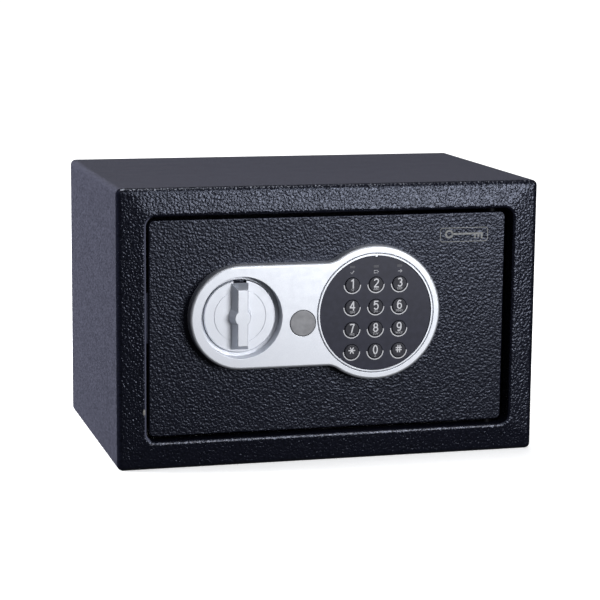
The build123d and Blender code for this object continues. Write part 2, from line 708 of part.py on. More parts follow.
def make_key_mat():
    """Silicone mat that the keys press on."""
    y0 = KEYMAT_FRONT
    y1 = KEYMAT_FRONT + KEYMAT_THICKNESS
    mat = rod_y(KEYPAD_BOARD_R, KEYPAD_X, y0, y1, CONTROL_Z)
    # cut straight below the status lights
    low = LIGHT_Z - LIGHT_HEIGHT
    reach = KEYPAD_BOARD_R
    return mat - block(KEYPAD_X - reach, KEYPAD_X + reach, y0, y1, low, LIGHT_Z + reach)


def make_keypad_board():
    y0 = KEYMAT_FRONT + KEYMAT_THICKNESS
    return rod_y(KEYPAD_BOARD_R, KEYPAD_X, y0, y0 + BOARD_THICKNESS, CONTROL_Z)


# ---------------------------------------------------------------- knob, spindle and crank
def make_spindle_bush():
    bush = rod_y(BUSH_R, KNOB_X, DOOR_FRONT, DOOR_BACK + BUSH_BEHIND_DOOR, CONTROL_Z)
    bush += rod_y(BUSH_FLANGE_R, KNOB_X, DOOR_FRONT - BUSH_FLANGE, DOOR_FRONT, CONTROL_Z)
    return bush - rod_y(SPINDLE_R + SPINDLE_FIT, KNOB_X, DOOR_FRONT - 1, DOOR_BACK + 1, CONTROL_Z)


def make_grip():
    """Tapered bar with a round boss half way along."""
    base_y = KNOB_DISC_FRONT + GRIP_ROOT
    front_y = KNOB_DISC_FRONT - GRIP_HEIGHT
    base = Rectangle(2 * GRIP_BASE_HALF_WIDTH, 2 * GRIP_BASE_HALF_LENGTH)
    front = Rectangle(2 * GRIP_FRONT_HALF_WIDTH, 2 * GRIP_FRONT_HALF_LENGTH)
    here = (KNOB_X, CONTROL_Z)
    bar = loft([front_sketch(at(*here, base), base_y), front_sketch(at(*here, front), front_y)])
    bar = fillet(edges_at_depth(bar, front_y), GRIP_EDGE_R)
    boss_height = base_y - front_y
    cone = Cone(GRIP_BOSS_BASE_R, GRIP_BOSS_FRONT_R, boss_height)
    cone = fillet(cone.edges().group_by(Axis.Z)[-1], GRIP_EDGE_R)
    return bar + Pos(KNOB_X, (base_y + front_y) / 2, CONTROL_Z) * Rot(90, 0, 0) * cone


def make_knob():
    back = KNOB_DISC_FRONT + KNOB_DISC_THICKNESS
    disc = rod_y(KNOB_DISC_R, KNOB_X, KNOB_DISC_FRONT, back, CONTROL_Z)
    disc = fillet(edges_at_depth(disc, KNOB_DISC_FRONT), KNOB_EDGE_R)
    groove = rod_y(KNOB_GROOVE_R + KNOB_GROOVE_WIDTH / 2, KNOB_X, 0, KNOB_GROOVE_DEPTH, CONTROL_Z)
    groove -= rod_y(KNOB_GROOVE_R - KNOB_GROOVE_WIDTH / 2, KNOB_X, 0, KNOB_GROOVE_DEPTH, CONTROL_Z)
    disc -= Pos(0, KNOB_DISC_FRONT, 0) * groove
    half = POINTER_NOTCH_WIDTH / 2
    notch_z = CONTROL_Z + GRIP_BASE_HALF_LENGTH - POINTER_NOTCH_OVERLAP
    disc -= block(KNOB_X - half, KNOB_X + half, KNOB_DISC_FRONT, back, notch_z, CONTROL_Z + KNOB_DISC_R + 1)
    knob = disc + make_grip()
    return knob - rod_y(SPINDLE_R + SOCKET_FIT, KNOB_X, back - SPINDLE_SOCKET_DEPTH, back, CONTROL_Z)


def make_knob_spindle():
    """Steel spindle with its end riveted over behind the crank."""
    y0 = KNOB_DISC_FRONT + KNOB_DISC_THICKNESS - SPINDLE_SOCKET_DEPTH
    spindle = rod_y(SPINDLE_R, KNOB_X, y0, CRANK_BACK, CONTROL_Z)
    head = rod_y(RIVET_HEAD_R, KNOB_X, CRANK_BACK, CRANK_BACK + RIVET_HEAD_HEIGHT, CONTROL_Z)
    return spindle + fillet(edges_at_depth(head, CRANK_BACK + RIVET_HEAD_HEIGHT), RIVET_HEAD_EDGE_R)


def make_crank_arm():
    """Arm on the spindle whose pin drives the bolt carrier."""
    angle = math.radians(90 - CRANK_REST_ANGLE)
    pin_x = KNOB_X + CRANK_RADIUS * math.cos(angle)
    pin_z = CONTROL_Z + CRANK_RADIUS * math.sin(angle)
    hub = at(KNOB_X, CONTROL_Z, Circle(CRANK_HUB_R))
    lobe = at(pin_x, pin_z, Circle(CRANK_LOBE_R))
    arm = plate(make_hull((hub + lobe).edges()), CRANK_FRONT, CRANK_BACK)
    arm -= rod_y(SPINDLE_R, KNOB_X, CRANK_FRONT, CRANK_BACK, CONTROL_Z)
    pin_end = WEB_BACK + CRANK_PIN_PROUD
    pin = rod_y(CRANK_PIN_R, pin_x, CRANK_BACK, pin_end, pin_z)
    return arm + chamfer(edges_at_depth(pin, pin_end), PIN_CHAMFER)


# ---------------------------------------------------------------- bolt work
def bolt_heights():
    return {"bolt_upper": CONTROL_Z + BOLT_SPREAD, "bolt_lower": CONTROL_Z - BOLT_SPREAD}


def make_bolt_carrier():
    """Sliding plate with a flange for the bolts, a slot for the crank pin and a locking tooth."""
    tooth_x = SOLENOID_X + TOOTH_GAP
    web = Rectangle(WEB_RIGHT - WEB_LEFT, WEB_TOP - WEB_BOTTOM)
    web = at((WEB_LEFT + WEB_RIGHT) / 2, (WEB_BOTTOM + WEB_TOP) / 2, web)
    # the tooth is a ramp on the side that meets the plunger when the bolts go out, and square on the other
    tooth = Polygon(
        (tooth_x, WEB_TOP - TOOTH_ROOT),
        (tooth_x + TOOTH_WIDTH, WEB_TOP - TOOTH_ROOT),
        (tooth_x + TOOTH_WIDTH, WEB_TOP + TOOTH_HEIGHT),
        (tooth_x + TOOTH_HEIGHT, WEB_TOP + TOOTH_HEIGHT),
        (tooth_x, WEB_TOP),
        align=None,
    )
    carrier = plate(web + tooth, WEB_FRONT, WEB_BACK)
    reach = BOLT_SPREAD + FLANGE_MARGIN
    x1 = WEB_LEFT + FLANGE_THICKNESS
    carrier += block(WEB_LEFT, x1, FLANGE_FRONT, FLANGE_BACK, CONTROL_Z - reach, CONTROL_Z + reach)
    slot_x = KNOB_X + BOLT_THROW / 2
    slot_half = CRANK_PIN_R + CRANK_SLOT_PLAY
    slot_end = CRANK_PIN_R + CRANK_SLOT_END
    slot_low = CONTROL_Z + CRANK_RADIUS * math.cos(math.radians(CRANK_REST_ANGLE)) - slot_end
    slot_high = CONTROL_Z + CRANK_RADIUS + slot_end
    carrier -= block(slot_x - slot_half, slot_x + slot_half, WEB_FRONT, WEB_BACK, slot_low, slot_high)
    for x in STUD_XS:
        half = STUD_R + STUD_PLAY
        carrier -= block(x - half, x + BOLT_THROW + half, WEB_FRONT, WEB_BACK, STUD_Z - half, STUD_Z + half)
    for z in bolt_heights().values():
        carrier -= rod_x(BOLT_SCREW_R + SOCKET_FIT, WEB_LEFT, x1, BOLT_Y, z)
    return carrier


def make_bolt(z):
    bolt = rod_x(BOLT_R, BOLT_TIP_X, WEB_LEFT, BOLT_Y, z)
    bolt = chamfer(bolt.edges().group_by(Axis.X)[0], BOLT_TIP_CHAMFER)
    return bolt - rod_x(BOLT_SCREW_R, WEB_LEFT - BOLT_SCREW_BORE, WEB_LEFT, BOLT_Y, z)


def make_bolt_screws():
    screws = []
    for z in bolt_heights().values():
        x0 = WEB_LEFT + FLANGE_THICKNESS
        x1 = x0 + BOLT_SCREW_HEAD
        screw = rod_x(BOLT_SCREW_HEAD_R, x0, x1, BOLT_Y, z)
        socket_plane = Plane(origin=(x1, BOLT_Y, z), z_dir=(-1, 0, 0))
        hexagon = socket_plane * RegularPolygon(BOLT_SCREW_HEXAGON_R, 6)
        screw -= extrude(hexagon, amount=BOLT_SCREW_HEXAGON_DEPTH)
        screws.append(screw + rod_x(BOLT_SCREW_R, WEB_LEFT - BOLT_SCREW_LENGTH, x0, BOLT_Y, z))
    return screws


def make_bolt_guide():
    """Angle bracket with a hole for each bolt."""
    z0 = CONTROL_Z - BOLT_SPREAD - GUIDE_MARGIN_Z
    z1 = CONTROL_Z + BOLT_SPREAD + GUIDE_MARGIN_Z
    y1 = BOLT_Y + BOLT_R + GUIDE_MARGIN_Y
    guide = block(GUIDE_X, GUIDE_X + GUIDE_SHEET, DOOR_BACK, y1, z0, z1)
    guide += block(GUIDE_X, GUIDE_X + GUIDE_FOOT, DOOR_BACK, DOOR_BACK + GUIDE_SHEET, z0, z1)
    for z in bolt_heights().values():
        guide -= rod_x(BOLT_R + BOLT_FIT, GUIDE_X - 1, GUIDE_X + GUIDE_SHEET + 1, BOLT_Y, z)
    return guide


def make_guide_studs():
    """Shouldered studs that the bolt carrier slides along."""
    studs = []
    for x in STUD_XS:
        shoulder = WEB_FRONT - STUD_PLAY
        head_front = WEB_BACK + STUD_PLAY
        head_back = head_front + STUD_HEAD
        stud = rod_y(STUD_SHOULDER_R, x, DOOR_BACK, shoulder, STUD_Z)
        stud += rod_y(STUD_R, x, shoulder, head_front, STUD_Z)
        head = rod_y(STUD_SHOULDER_R, x, head_front, head_back, STUD_Z)
        studs.append(stud + fillet(edges_at_depth(head, head_back), STUD_HEAD_EDGE_R))
    return studs


# ---------------------------------------------------------------- solenoid
def make_solenoid_frame():
    """Three-sided steel frame round the coil, open at the back, standing off the door on a foot."""
    x0 = SOLENOID_X - SOLENOID_HALF_WIDTH
    x1 = SOLENOID_X + SOLENOID_HALF_WIDTH
    y0 = WEB_MID - SOLENOID_HALF_DEPTH - SOLENOID_SHEET
    y1 = WEB_MID + SOLENOID_HALF_DEPTH
    z0 = SOLENOID_BOTTOM
    z1 = SOLENOID_BOTTOM + SOLENOID_HEIGHT
    frame = block(x0, x1, y0, y1, z0, z1)
    frame -= block(x0, x1, y0 + SOLENOID_SHEET, y1, z0 + SOLENOID_SHEET, z1 - SOLENOID_SHEET)
    foot_x = SOLENOID_HALF_WIDTH - SOLENOID_FOOT_INSET_X
    inset = SOLENOID_FOOT_INSET_Z
    frame += block(SOLENOID_X - foot_x, SOLENOID_X + foot_x, DOOR_BACK, y0, z0 + inset, z1 - inset)
    return frame - rod_z(PLUNGER_R + PLUNGER_FIT, SOLENOID_X, WEB_MID, z0, z0 + SOLENOID_SHEET)


def make_solenoid_coil():
    """Bobbin: two cheeks and the winding, bored for the plunger."""
    z0 = SOLENOID_BOTTOM + SOLENOID_SHEET
    z1 = SOLENOID_BOTTOM + SOLENOID_HEIGHT - SOLENOID_SHEET
    coil = rod_z(WINDING_R, SOLENOID_X, WEB_MID, z0, z1)
    coil += rod_z(COIL_R, SOLENOID_X, WEB_MID, z0, z0 + COIL_CHEEK)
    coil += rod_z(COIL_R, SOLENOID_X, WEB_MID, z1 - COIL_CHEEK, z1)
    return coil - rod_z(PLUNGER_R + PLUNGER_FIT, SOLENOID_X, WEB_MID, z0, PLUNGER_TOP_Z + PLUNGER_TOP_GAP)


def make_solenoid_plunger():
    plunger = rod_z(PLUNGER_R, SOLENOID_X, WEB_MID, PLUNGER_TIP_Z, PLUNGER_TOP_Z)
    plunger = chamfer(plunger.edges().group_by(Axis.Z)[0], PLUNGER_CHAMFER)
    return plunger + rod_z(COLLAR_R, SOLENOID_X, WEB_MID, COLLAR_Z, COLLAR_Z + COLLAR_THICKNESS)


def make_plunger_spring():
    """Coil spring between the plunger's collar and the solenoid frame."""
    z0 = COLLAR_Z + COLLAR_THICKNESS + SPRING_WIRE_R
    height = SOLENOID_BOTTOM - SPRING_WIRE_R - z0
    path = Helix(height / SPRING_TURNS, height, SPRING_R)
    wire = sweep(Plane(path @ 0, z_dir=path % 0) * Circle(SPRING_WIRE_R), path=path, is_frenet=True)
    return Pos(SOLENOID_X, WEB_MID, z0) * wire


# ---------------------------------------------------------------- emergency lock
def make_override_cap():
    """Grey push-in cap that hides the keyhole."""
    y0 = BEZEL_FRONT - CAP_PROUD
    cap = rod_y(CAP_R, LOCK_X, y0, y0 + CAP_THICKNESS, LOCK_Z)
    cap = fillet(edges_at_depth(cap, y0), CAP_EDGE_R)
    root = y0 + CAP_THICKNESS
    end = LOCK_FRONT + CAP_SPIGOT_REACH
    spigot = rod_y(CAP_SPIGOT_R, LOCK_X, root, end, LOCK_Z)
    return cap + spigot - rod_y(CAP_SPIGOT_R - CAP_SPIGOT_WALL, LOCK_X, root, end, LOCK_Z)


def make_override_lock_body():
    body = rod_y(LOCK_BODY_R, LOCK_X, LOCK_FRONT, LOCK_BACK, LOCK_Z)
    seat_end = LOCK_FRONT + CAP_SEAT_DEPTH
    body -= rod_y(CAP_SPIGOT_R + CAP_SEAT_PLAY, LOCK_X, LOCK_FRONT, seat_end, LOCK_Z)
    return body - rod_y(LOCK_PLUG_R + LOCK_FIT, LOCK_X, LOCK_FRONT, LOCK_BACK, LOCK_Z)


def make_override_lock_nut():
    hexagon = at(LOCK_X, LOCK_Z, RegularPolygon(NUT_FLATS_R, 6, major_radius=False))
    nut = plate(hexagon, DOOR_BACK, DOOR_BACK + NUT_THICKNESS)
    return nut - rod_y(LOCK_BODY_R, LOCK_X, DOOR_BACK, DOOR_BACK + NUT_THICKNESS, LOCK_Z)


def make_override_plug():
    y0 = LOCK_FRONT + LOCK_PLUG_INSET
    plug = rod_y(LOCK_PLUG_R, LOCK_X, y0, LOCK_BACK + LOCK_PLUG_PROUD, LOCK_Z)
    keyway = at(LOCK_X, LOCK_Z, Rectangle(KEYWAY_WIDTH, KEYWAY_HEIGHT))
    plug -= plate(keyway, y0, y0 + KEYWAY_DEPTH)
    return plug


def make_override_cam():
    """Arm that swings up beside the plunger's collar when the key is turned."""
    angle = math.radians(CAM_REST_ANGLE)
    tip_x = LOCK_X + CAM_REACH * math.cos(angle)
    tip_z = LOCK_Z + CAM_REACH * math.sin(angle)
    hub = at(LOCK_X, LOCK_Z, Circle(CAM_HUB_R))
    tip = at(tip_x, tip_z, Circle(CAM_TIP_R))
    y0 = LOCK_BACK + LOCK_PLUG_PROUD
    return plate(make_hull((hub + tip).edges()), y0, y0 + CAM_THICKNESS)


# ---------------------------------------------------------------- inner cover and what it holds
def battery_box_sides():
    half = BATTERY_BOX_WIDTH / 2
    return BATTERY_MID_X - half, BATTERY_MID_X + half


def lid_opening(gap=0.0):
    """Opening in the inner cover over the batteries, or the lid that fills it."""
    left, right = battery_box_sides()
    x0 = left + BATTERY_BOX_WALL + gap
    x1 = right - BATTERY_BOX_WALL - gap
    z0 = BATTERY_BOX_BOTTOM + BATTERY_BOX_WALL + gap
    z1 = BATTERY_BOX_TOP - BATTERY_BOX_WALL - gap
    return at((x0 + x1) / 2, (z0 + z1) / 2, RectangleRounded(x1 - x0, z1 - z0, LID_CORNER_R))


def post_places():
    xs = (COVER_LEFT + POST_INSET, COVER_RIGHT - POST_INSET)
    zs = (COVER_BOTTOM + POST_INSET - 1, COVER_TOP - POST_INSET + 1)
    return [(x, z) for x in xs for z in zs]


def make_inner_cover():
    """Sheet cover over the mechanism on the back of the door."""
    width = COVER_RIGHT - COVER_LEFT
    height = COVER_TOP - COVER_BOTTOM
    mid_x = (COVER_LEFT + COVER_RIGHT) / 2
    mid_z = (COVER_BOTTOM + COVER_TOP) / 2
    outline = at(mid_x, mid_z, RectangleRounded(width, height, COVER_CORNER_R))
    cover = plate(outline, DOOR_BACK, COVER_BACK)
    cover = fillet(edges_at_depth(cover, COVER_BACK), COVER_EDGE_R)
    inset = 2 * COVER_SHEET
    hollow = at(mid_x, mid_z, RectangleRounded(width - inset, height - inset, COVER_CORNER_R - COVER_SHEET))
    cover -= plate(hollow, DOOR_BACK, COVER_BACK - COVER_SHEET)
    cover -= plate(lid_opening(), COVER_BACK - COVER_SHEET, COVER_BACK)
    cover -= rod_y(RESET_HOLE_R, RESET_X, COVER_BACK - COVER_SHEET, COVER_BACK, RESET_Z)
    for x, z in post_places():
        cover -= rod_y(SCREW_CLEAR_R, x, COVER_BACK - COVER_SHEET, COVER_BACK, z)
    # the bolts and their guide come out through the left wall
    for z in bolt_heights().values():
        cover -= rod_x(COVER_BOLT_HOLE_R, COVER_LEFT, COVER_LEFT + COVER_SHEET, BOLT_Y, z)
    reach = BOLT_SPREAD + GUIDE_MARGIN_Z + GUIDE_SLOT_PLAY
    y1 = DOOR_BACK + GUIDE_SHEET + GUIDE_SLOT_PLAY
    cover -= block(COVER_LEFT, COVER_LEFT + COVER_SHEET, DOOR_BACK, y1, CONTROL_Z - reach, CONTROL_Z + reach)
    return cover - make_lid_seats()


def make_lid_seats():
    """Snap slot for the lid's latch and groove for the bead it turns on."""
    half = LID_LATCH_WIDTH / 2 + 1
    y0 = COVER_BACK - LID_LATCH_THICKNESS - LID_LATCH_PLAY
    top = BATTERY_BOX_TOP - BATTERY_BOX_WALL
    seats = block(BATTERY_MID_X - half, BATTERY_MID_X + half, y0, COVER_BACK, top, top + LID_LATCH_REACH)
    half = LID_BEAD_HALF_LENGTH + 2 * LID_BEAD_FIT
    radius = LID_BEAD_R + LID_BEAD_FIT
    return seats + rod_x(radius, BATTERY_MID_X - half, BATTERY_MID_X + half, COVER_BACK, lid_axis_z())


def lid_axis_z():
    """Height of the lid's lower edge, which it turns about."""
    return BATTERY_BOX_BOTTOM + BATTERY_BOX_WALL + LID_GAP


def make_cover_posts():
    posts = []
    end = COVER_BACK - COVER_SHEET
    for x, z in post_places():
        post = rod_y(POST_R, x, DOOR_BACK, end, z)
        posts.append(post - rod_y(BOSS_PILOT_R, x, end - POST_PILOT_DEPTH, end, z))
    return posts


def make_cover_screws():
    head_back = COVER_BACK + SCREW_HEAD_HEIGHT
    return [screw_y(x, z, head_back, COVER_SCREW_LENGTH) for x, z in post_places()]


def battery_places():
    middle = (BATTERY_COUNT - 1) / 2
    return [BATTERY_MID_X + (i - middle) * BATTERY_PITCH for i in range(BATTERY_COUNT)]


def make_battery_box():
    """Open tray for four cells, with low ribs between them."""
    left, right = battery_box_sides()
    wall = BATTERY_BOX_WALL
    y1 = COVER_BACK - COVER_SHEET
    box = block(left, right, BATTERY_BOX_FRONT, y1, BATTERY_BOX_BOTTOM, BATTERY_BOX_TOP)
    inside = BATTERY_BOX_FRONT + wall
    low = BATTERY_BOX_BOTTOM + wall
    high = BATTERY_BOX_TOP - wall
    box -= block(left + wall, right - wall, inside, y1, low, high)
    places = battery_places()
    for a, b in zip(places, places[1:]):
        x = (a + b - BATTERY_RIB_WIDTH) / 2
        y = inside + BATTERY_RIB_HEIGHT
        inset = BATTERY_RIB_INSET
        box += block(x, x + BATTERY_RIB_WIDTH, inside, y, low + inset, high - inset)
    return box


def battery_axis_y():
    return BATTERY_BOX_FRONT + BATTERY_BOX_WALL + BATTERY_R + BATTERY_PLAY


def make_batteries():
    cells = []
    y = battery_axis_y()
    middle = (BATTERY_BOX_BOTTOM + BATTERY_BOX_TOP) / 2
    for index, x in enumerate(battery_places()):
        up = 1 if index % 2 == 0 else -1
        end = middle + up * BATTERY_LENGTH / 2
        cell = rod_z(BATTERY_R, x, y, middle - BATTERY_LENGTH / 2, middle + BATTERY_LENGTH / 2)
        cell = fillet(cell.edges().filter_by(GeomType.CIRCLE), BATTERY_EDGE_R)
        low = min(end, end + up * BATTERY_NUB)
        cells.append(cell + rod_z(BATTERY_NUB_R, x, y, low, low + BATTERY_NUB))
    return cells


def make_battery_contacts():
    """Flat contacts at one end of the cells and cone springs at the other."""
    contacts = []
    y = battery_axis_y()
    low = BATTERY_BOX_BOTTOM + BATTERY_BOX_WALL
    high = BATTERY_BOX_TOP - BATTERY_BOX_WALL
    middle = (low + high) / 2
    reach = BATTERY_LENGTH / 2
    for index, x in enumerate(battery_places()):
        for end, side in ((low, 1), (high, -1)):
            z0, z1 = sorted((end, end + side * CONTACT_THICKNESS))
            half = CONTACT_HALF_WIDTH
            tab = block(x - half, x + half, y - half, y + half, z0, z1)
            is_negative = (side == 1) == (index % 2 == 0)
            if is_negative:
                stop = middle - side * (reach + CONTACT_PLAY)
                base = end + side * CONTACT_THICKNESS
                cone = Cone(CONTACT_BASE_R, CONTACT_TIP_R, abs(stop - base))
                flip = Rot(0, 0, 0) if side == 1 else Rot(180, 0, 0)
                tab += Pos(x, y, (stop + base) / 2) * flip * cone
            contacts.append(tab)
    return contacts


def make_battery_cover():
    """Lid over the batteries; it turns on a bead along its bottom edge and its top edge latches."""
    lid = plate(lid_opening(LID_GAP), COVER_BACK - COVER_SHEET, COVER_BACK)
    top = BATTERY_BOX_TOP - BATTERY_BOX_WALL - LID_GAP
    half = LID_LATCH_WIDTH / 2
    y0 = COVER_BACK - LID_LATCH_THICKNESS
    root = top - LID_LATCH_ROOT
    end = top + LID_LATCH_REACH
    lid += block(BATTERY_MID_X - half, BATTERY_MID_X + half, y0, COVER_BACK, root, end)
    half = LID_BEAD_HALF_LENGTH
    lid += rod_x(LID_BEAD_R, BATTERY_MID_X - half, BATTERY_MID_X + half, COVER_BACK, lid_axis_z())
    half = LID_RIB_HALF_LENGTH
    for rib in range(LID_RIB_COUNT):
        z = top - LID_RIB_INSET - LID_RIB_PITCH * rib
        y1 = COVER_BACK + LID_RIB_HEIGHT
        lid += block(BATTERY_MID_X - half, BATTERY_MID_X + half, COVER_BACK, y1, z, z + LID_RIB_WIDTH)
    return lid


def make_control_board():
    board = block(BOARD_LEFT, BOARD_RIGHT, BOARD_FRONT, BOARD_BACK, BOARD_BOTTOM, BOARD_TOP)
    board = fillet(board.edges().filter_by(Axis.Y), BOARD_CORNER_R)
    for x, z in spacer_places():
        board -= rod_y(SCREW_CLEAR_R, x, BOARD_FRONT, BOARD_BACK, z)
    return board


def spacer_places():
    xs = (BOARD_LEFT + SPACER_INSET, BOARD_RIGHT - SPACER_INSET)
    zs = (BOARD_BOTTOM + SPACER_INSET, BOARD_TOP - SPACER_INSET)
    return [(x, z) for x in xs for z in zs]


def make_board_spacers():
    """Posts with a snap head that hold the board off the door."""
    spacers = []
    for x, z in spacer_places():
        spacer = rod_y(SPACER_R, x, DOOR_BACK, BOARD_FRONT, z)
        spacer += rod_y(SPACER_NECK_R, x, BOARD_FRONT, BOARD_BACK, z)
        head_back = BOARD_BACK + SPACER_HEAD
        head = rod_y(SPACER_HEAD_R, x, BOARD_BACK, head_back, z)
        spacers.append(spacer + chamfer(edges_at_depth(head, head_back), SPACER_HEAD_CHAMFER))
    return spacers


def lead_connector_places():
    """X of the connectors for the solenoid, keypad and battery leads, with their widths."""
    return {
        "solenoid": (BUZZER_X, CONNECTOR_WIDTH),
        "keypad": (KEYPAD_X, KEYPAD_CONNECTOR_WIDTH),
        "battery": (BATTERY_LEAD_X, CONNECTOR_WIDTH),
    }


def make_board_components():
    y0 = BOARD_BACK
    parts = []
    for x, width in lead_connector_places().values():
        low = CONNECTOR_TOP - CONNECTOR_HEIGHT
        parts.append(block(x - width / 2, x + width / 2, y0, y0 + CONNECTOR_DEPTH, low, CONNECTOR_TOP))
    y1 = y0 + BUZZER_HEIGHT
    buzzer = rod_y(BUZZER_R, BUZZER_X, y0, y1, BUZZER_Z)
    buzzer = fillet(edges_at_depth(buzzer, y1), BUZZER_EDGE_R)
    parts.append(buzzer - rod_y(BUZZER_HOLE_R, BUZZER_X, y1 - BUZZER_HOLE_DEPTH, y1, BUZZER_Z))
    chip = at(CHIP_X, CHIP_Z, Rectangle(CHIP_WIDTH, CHIP_HEIGHT))
    parts.append(plate(chip, y0, y0 + CHIP_THICKNESS))
    switch = at(RESET_X, RESET_Z, Rectangle(SWITCH_WIDTH, SWITCH_WIDTH))
    parts.append(plate(switch, y0, y0 + SWITCH_HEIGHT))
    for x in CAPACITOR_XS:
        capacitor = rod_y(CAPACITOR_R, x, y0, y0 + CAPACITOR_HEIGHT, CAPACITOR_Z)
        parts.append(fillet(edges_at_depth(capacitor, y0 + CAPACITOR_HEIGHT), CAPACITOR_EDGE_R))
    return parts


def make_reset_button():
    """Long button that reaches from the cover's back to the switch on the board."""
    flange_back = COVER_BACK - COVER_SHEET - RESET_PLAY
    flange_front = flange_back - RESET_FLANGE
    end = COVER_BACK + RESET_PROUD
    button = rod_y(RESET_R, RESET_X, flange_front, end, RESET_Z)
    button = fillet(edges_at_depth(button, end), RESET_EDGE_R)
    button += rod_y(RESET_FLANGE_R, RESET_X, flange_front, flange_back, RESET_Z)
    stem_end = BOARD_BACK + SWITCH_HEIGHT + RESET_TRAVEL + RESET_END_GAP
    return button + rod_y(RESET_STEM_R, RESET_X, stem_end, flange_front, RESET_Z)


# ---------------------------------------------------------------- leads
def lead(points, radius):
    """Round lead: straight runs joined by arcs nearly as large as the runs allow."""
    turns = []
    for a, b, c in zip(points, points[1:], points[2:]):
        first = Vector(b) - Vector(a)
        second = Vector(c) - Vector(b)
        turn = math.radians(first.get_angle(second))
        turns.append(0.45 * min(first.length, second.length) / math.tan(turn / 2))
    path = FilletPolyline(*points, radius=turns)
    section = Plane(path @ 0, z_dir=path % 0) * Circle(radius)
    return sweep(section, path=path)


def keypad_lead_points():
    y0 = KEYMAT_FRONT + KEYMAT_THICKNESS + BOARD_THICKNESS
    return [(KEYPAD_X, y0, CONTROL_Z), (KEYPAD_X, LEAD_Y, CONTROL_Z), (KEYPAD_X, LEAD_Y, CONNECTOR_TOP)]


def battery_lead_points():
    x = lead_connector_places()["battery"][0]
    y = BATTERY_BOX_FRONT + 3
    low = BATTERY_BOX_BOTTOM
    return [(x, y, low), (x, y, low - 6), (x, LEAD_Y, CONNECTOR_TOP + 6), (x, LEAD_Y, CONNECTOR_TOP)]


def solenoid_lead_points():
    start_x = SOLENOID_X + COIL_R - 0.2
    end_x = lead_connector_places()["solenoid"][0]
    return [
        (start_x, WEB_MID, SOLENOID_LEAD_Z),
        (start_x + SOLENOID_LEAD_RUN, WEB_MID, SOLENOID_LEAD_Z),
        (end_x - 10, LEAD_Y, SOLENOID_LEAD_Z - 11),
        (end_x, LEAD_Y, CONNECTOR_TOP + 44),
        (end_x, LEAD_Y, CONNECTOR_TOP),
    ]


# ---------------------------------------------------------------- writing the files
def all_parts():
    parts = {
        "body_wrap": make_body_wrap(),
        "back_panel": make_back_panel(),
        "front_frame": make_front_frame(),
        "hinge_brackets": make_hinge_brackets(),
        "floor_mat": make_floor_mat(),
        "door_plate": make_door_plate(),
        "hinge_blocks": make_hinge_blocks(),
        "hinge_pins": make_hinge_pins(),
        "bezel": make_bezel(),
        "bezel_screws": make_bezel_screws(),
        "keypad_ring": make_keypad_ring(),
        "keypad_panel": make_keypad_panel(),
        "status_lights": make_status_lights(),
        "key_mat": make_key_mat(),
        "keypad_board": make_keypad_board(),
        "spindle_bush": make_spindle_bush(),
        "knob": make_knob(),
        "knob_spindle": make_knob_spindle(),
        "crank_arm": make_crank_arm(),
        "bolt_carrier": make_bolt_carrier(),
        "bolt_screws": make_bolt_screws(),
        "bolt_guide": make_bolt_guide(),
        "guide_studs": make_guide_studs(),
        "solenoid_frame": make_solenoid_frame(),
        "solenoid_coil": make_solenoid_coil(),
        "solenoid_plunger": make_solenoid_plunger(),
        "plunger_spring": make_plunger_spring(),
        "override_cap": make_override_cap(),
        "override_lock_body": make_override_lock_body(),
        "override_lock_nut": make_override_lock_nut(),
        "override_plug": make_override_plug(),
        "override_cam": make_override_cam(),
        "inner_cover": make_inner_cover(),
        "cover_posts": make_cover_posts(),
        "cover_screws": make_cover_screws(),
        "battery_box": make_battery_box(),
        "batteries": make_batteries(),
        "battery_contacts": make_battery_contacts(),
        "battery_cover": make_battery_cover(),
        "control_board": make_control_board(),
        "board_spacers": make_board_spacers(),
        "board_components": make_board_components(),
        "reset_button": make_reset_button(),
        "keypad_lead": lead(keypad_lead_points(), KEYPAD_LEAD_R),
        "battery_lead": lead(battery_lead_points(), LEAD_R),
        "solenoid_lead": lead(solenoid_lead_points(), LEAD_R),
    }
    for name, z in bolt_heights().items():
        parts[name] = make_bolt(z)
    for name, (x, z) in zip(KEY_NAMES, key_places()):
        parts["key_" + name] = make_key(x, z)
    return parts


def main():
    os.makedirs("parts", exist_ok=True)
    for name, shape in all_parts().items():
        pieces = shape if isinstance(shape, list) else [shape]
        solids = [solid for piece in pieces for solid in piece.solids()]
        export_step(Compound(children=solids), "parts/" + name + ".step")


main()
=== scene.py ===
import math

import bmesh
import bpy
from mathutils import Matrix, Vector, noise


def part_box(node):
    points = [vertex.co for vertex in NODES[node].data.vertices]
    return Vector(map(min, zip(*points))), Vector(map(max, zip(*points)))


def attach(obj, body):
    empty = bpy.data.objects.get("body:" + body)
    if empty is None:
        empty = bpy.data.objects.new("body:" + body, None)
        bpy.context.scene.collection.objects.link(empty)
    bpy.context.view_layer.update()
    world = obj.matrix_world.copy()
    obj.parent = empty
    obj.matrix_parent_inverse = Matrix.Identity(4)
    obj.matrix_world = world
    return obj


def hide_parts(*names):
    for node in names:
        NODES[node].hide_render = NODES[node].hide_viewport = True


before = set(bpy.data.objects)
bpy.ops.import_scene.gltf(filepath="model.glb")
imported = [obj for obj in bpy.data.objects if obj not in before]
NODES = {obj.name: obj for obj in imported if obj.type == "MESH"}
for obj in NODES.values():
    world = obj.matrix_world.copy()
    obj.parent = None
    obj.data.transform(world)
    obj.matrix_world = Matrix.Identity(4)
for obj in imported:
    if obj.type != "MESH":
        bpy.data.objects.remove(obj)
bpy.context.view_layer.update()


# ---------------------------------------------------------------- camera and light
CAMERA_PLACE = (-0.40695, -1.49506, 0.3690)
CAMERA_YAW, CAMERA_PITCH, CAMERA_ROLL = 15.366, 9.837, 0.5615
CAMERA_LENS = 124.09  # in mm, on a sensor 36 mm wide
SENSOR_WIDTH = 36.0


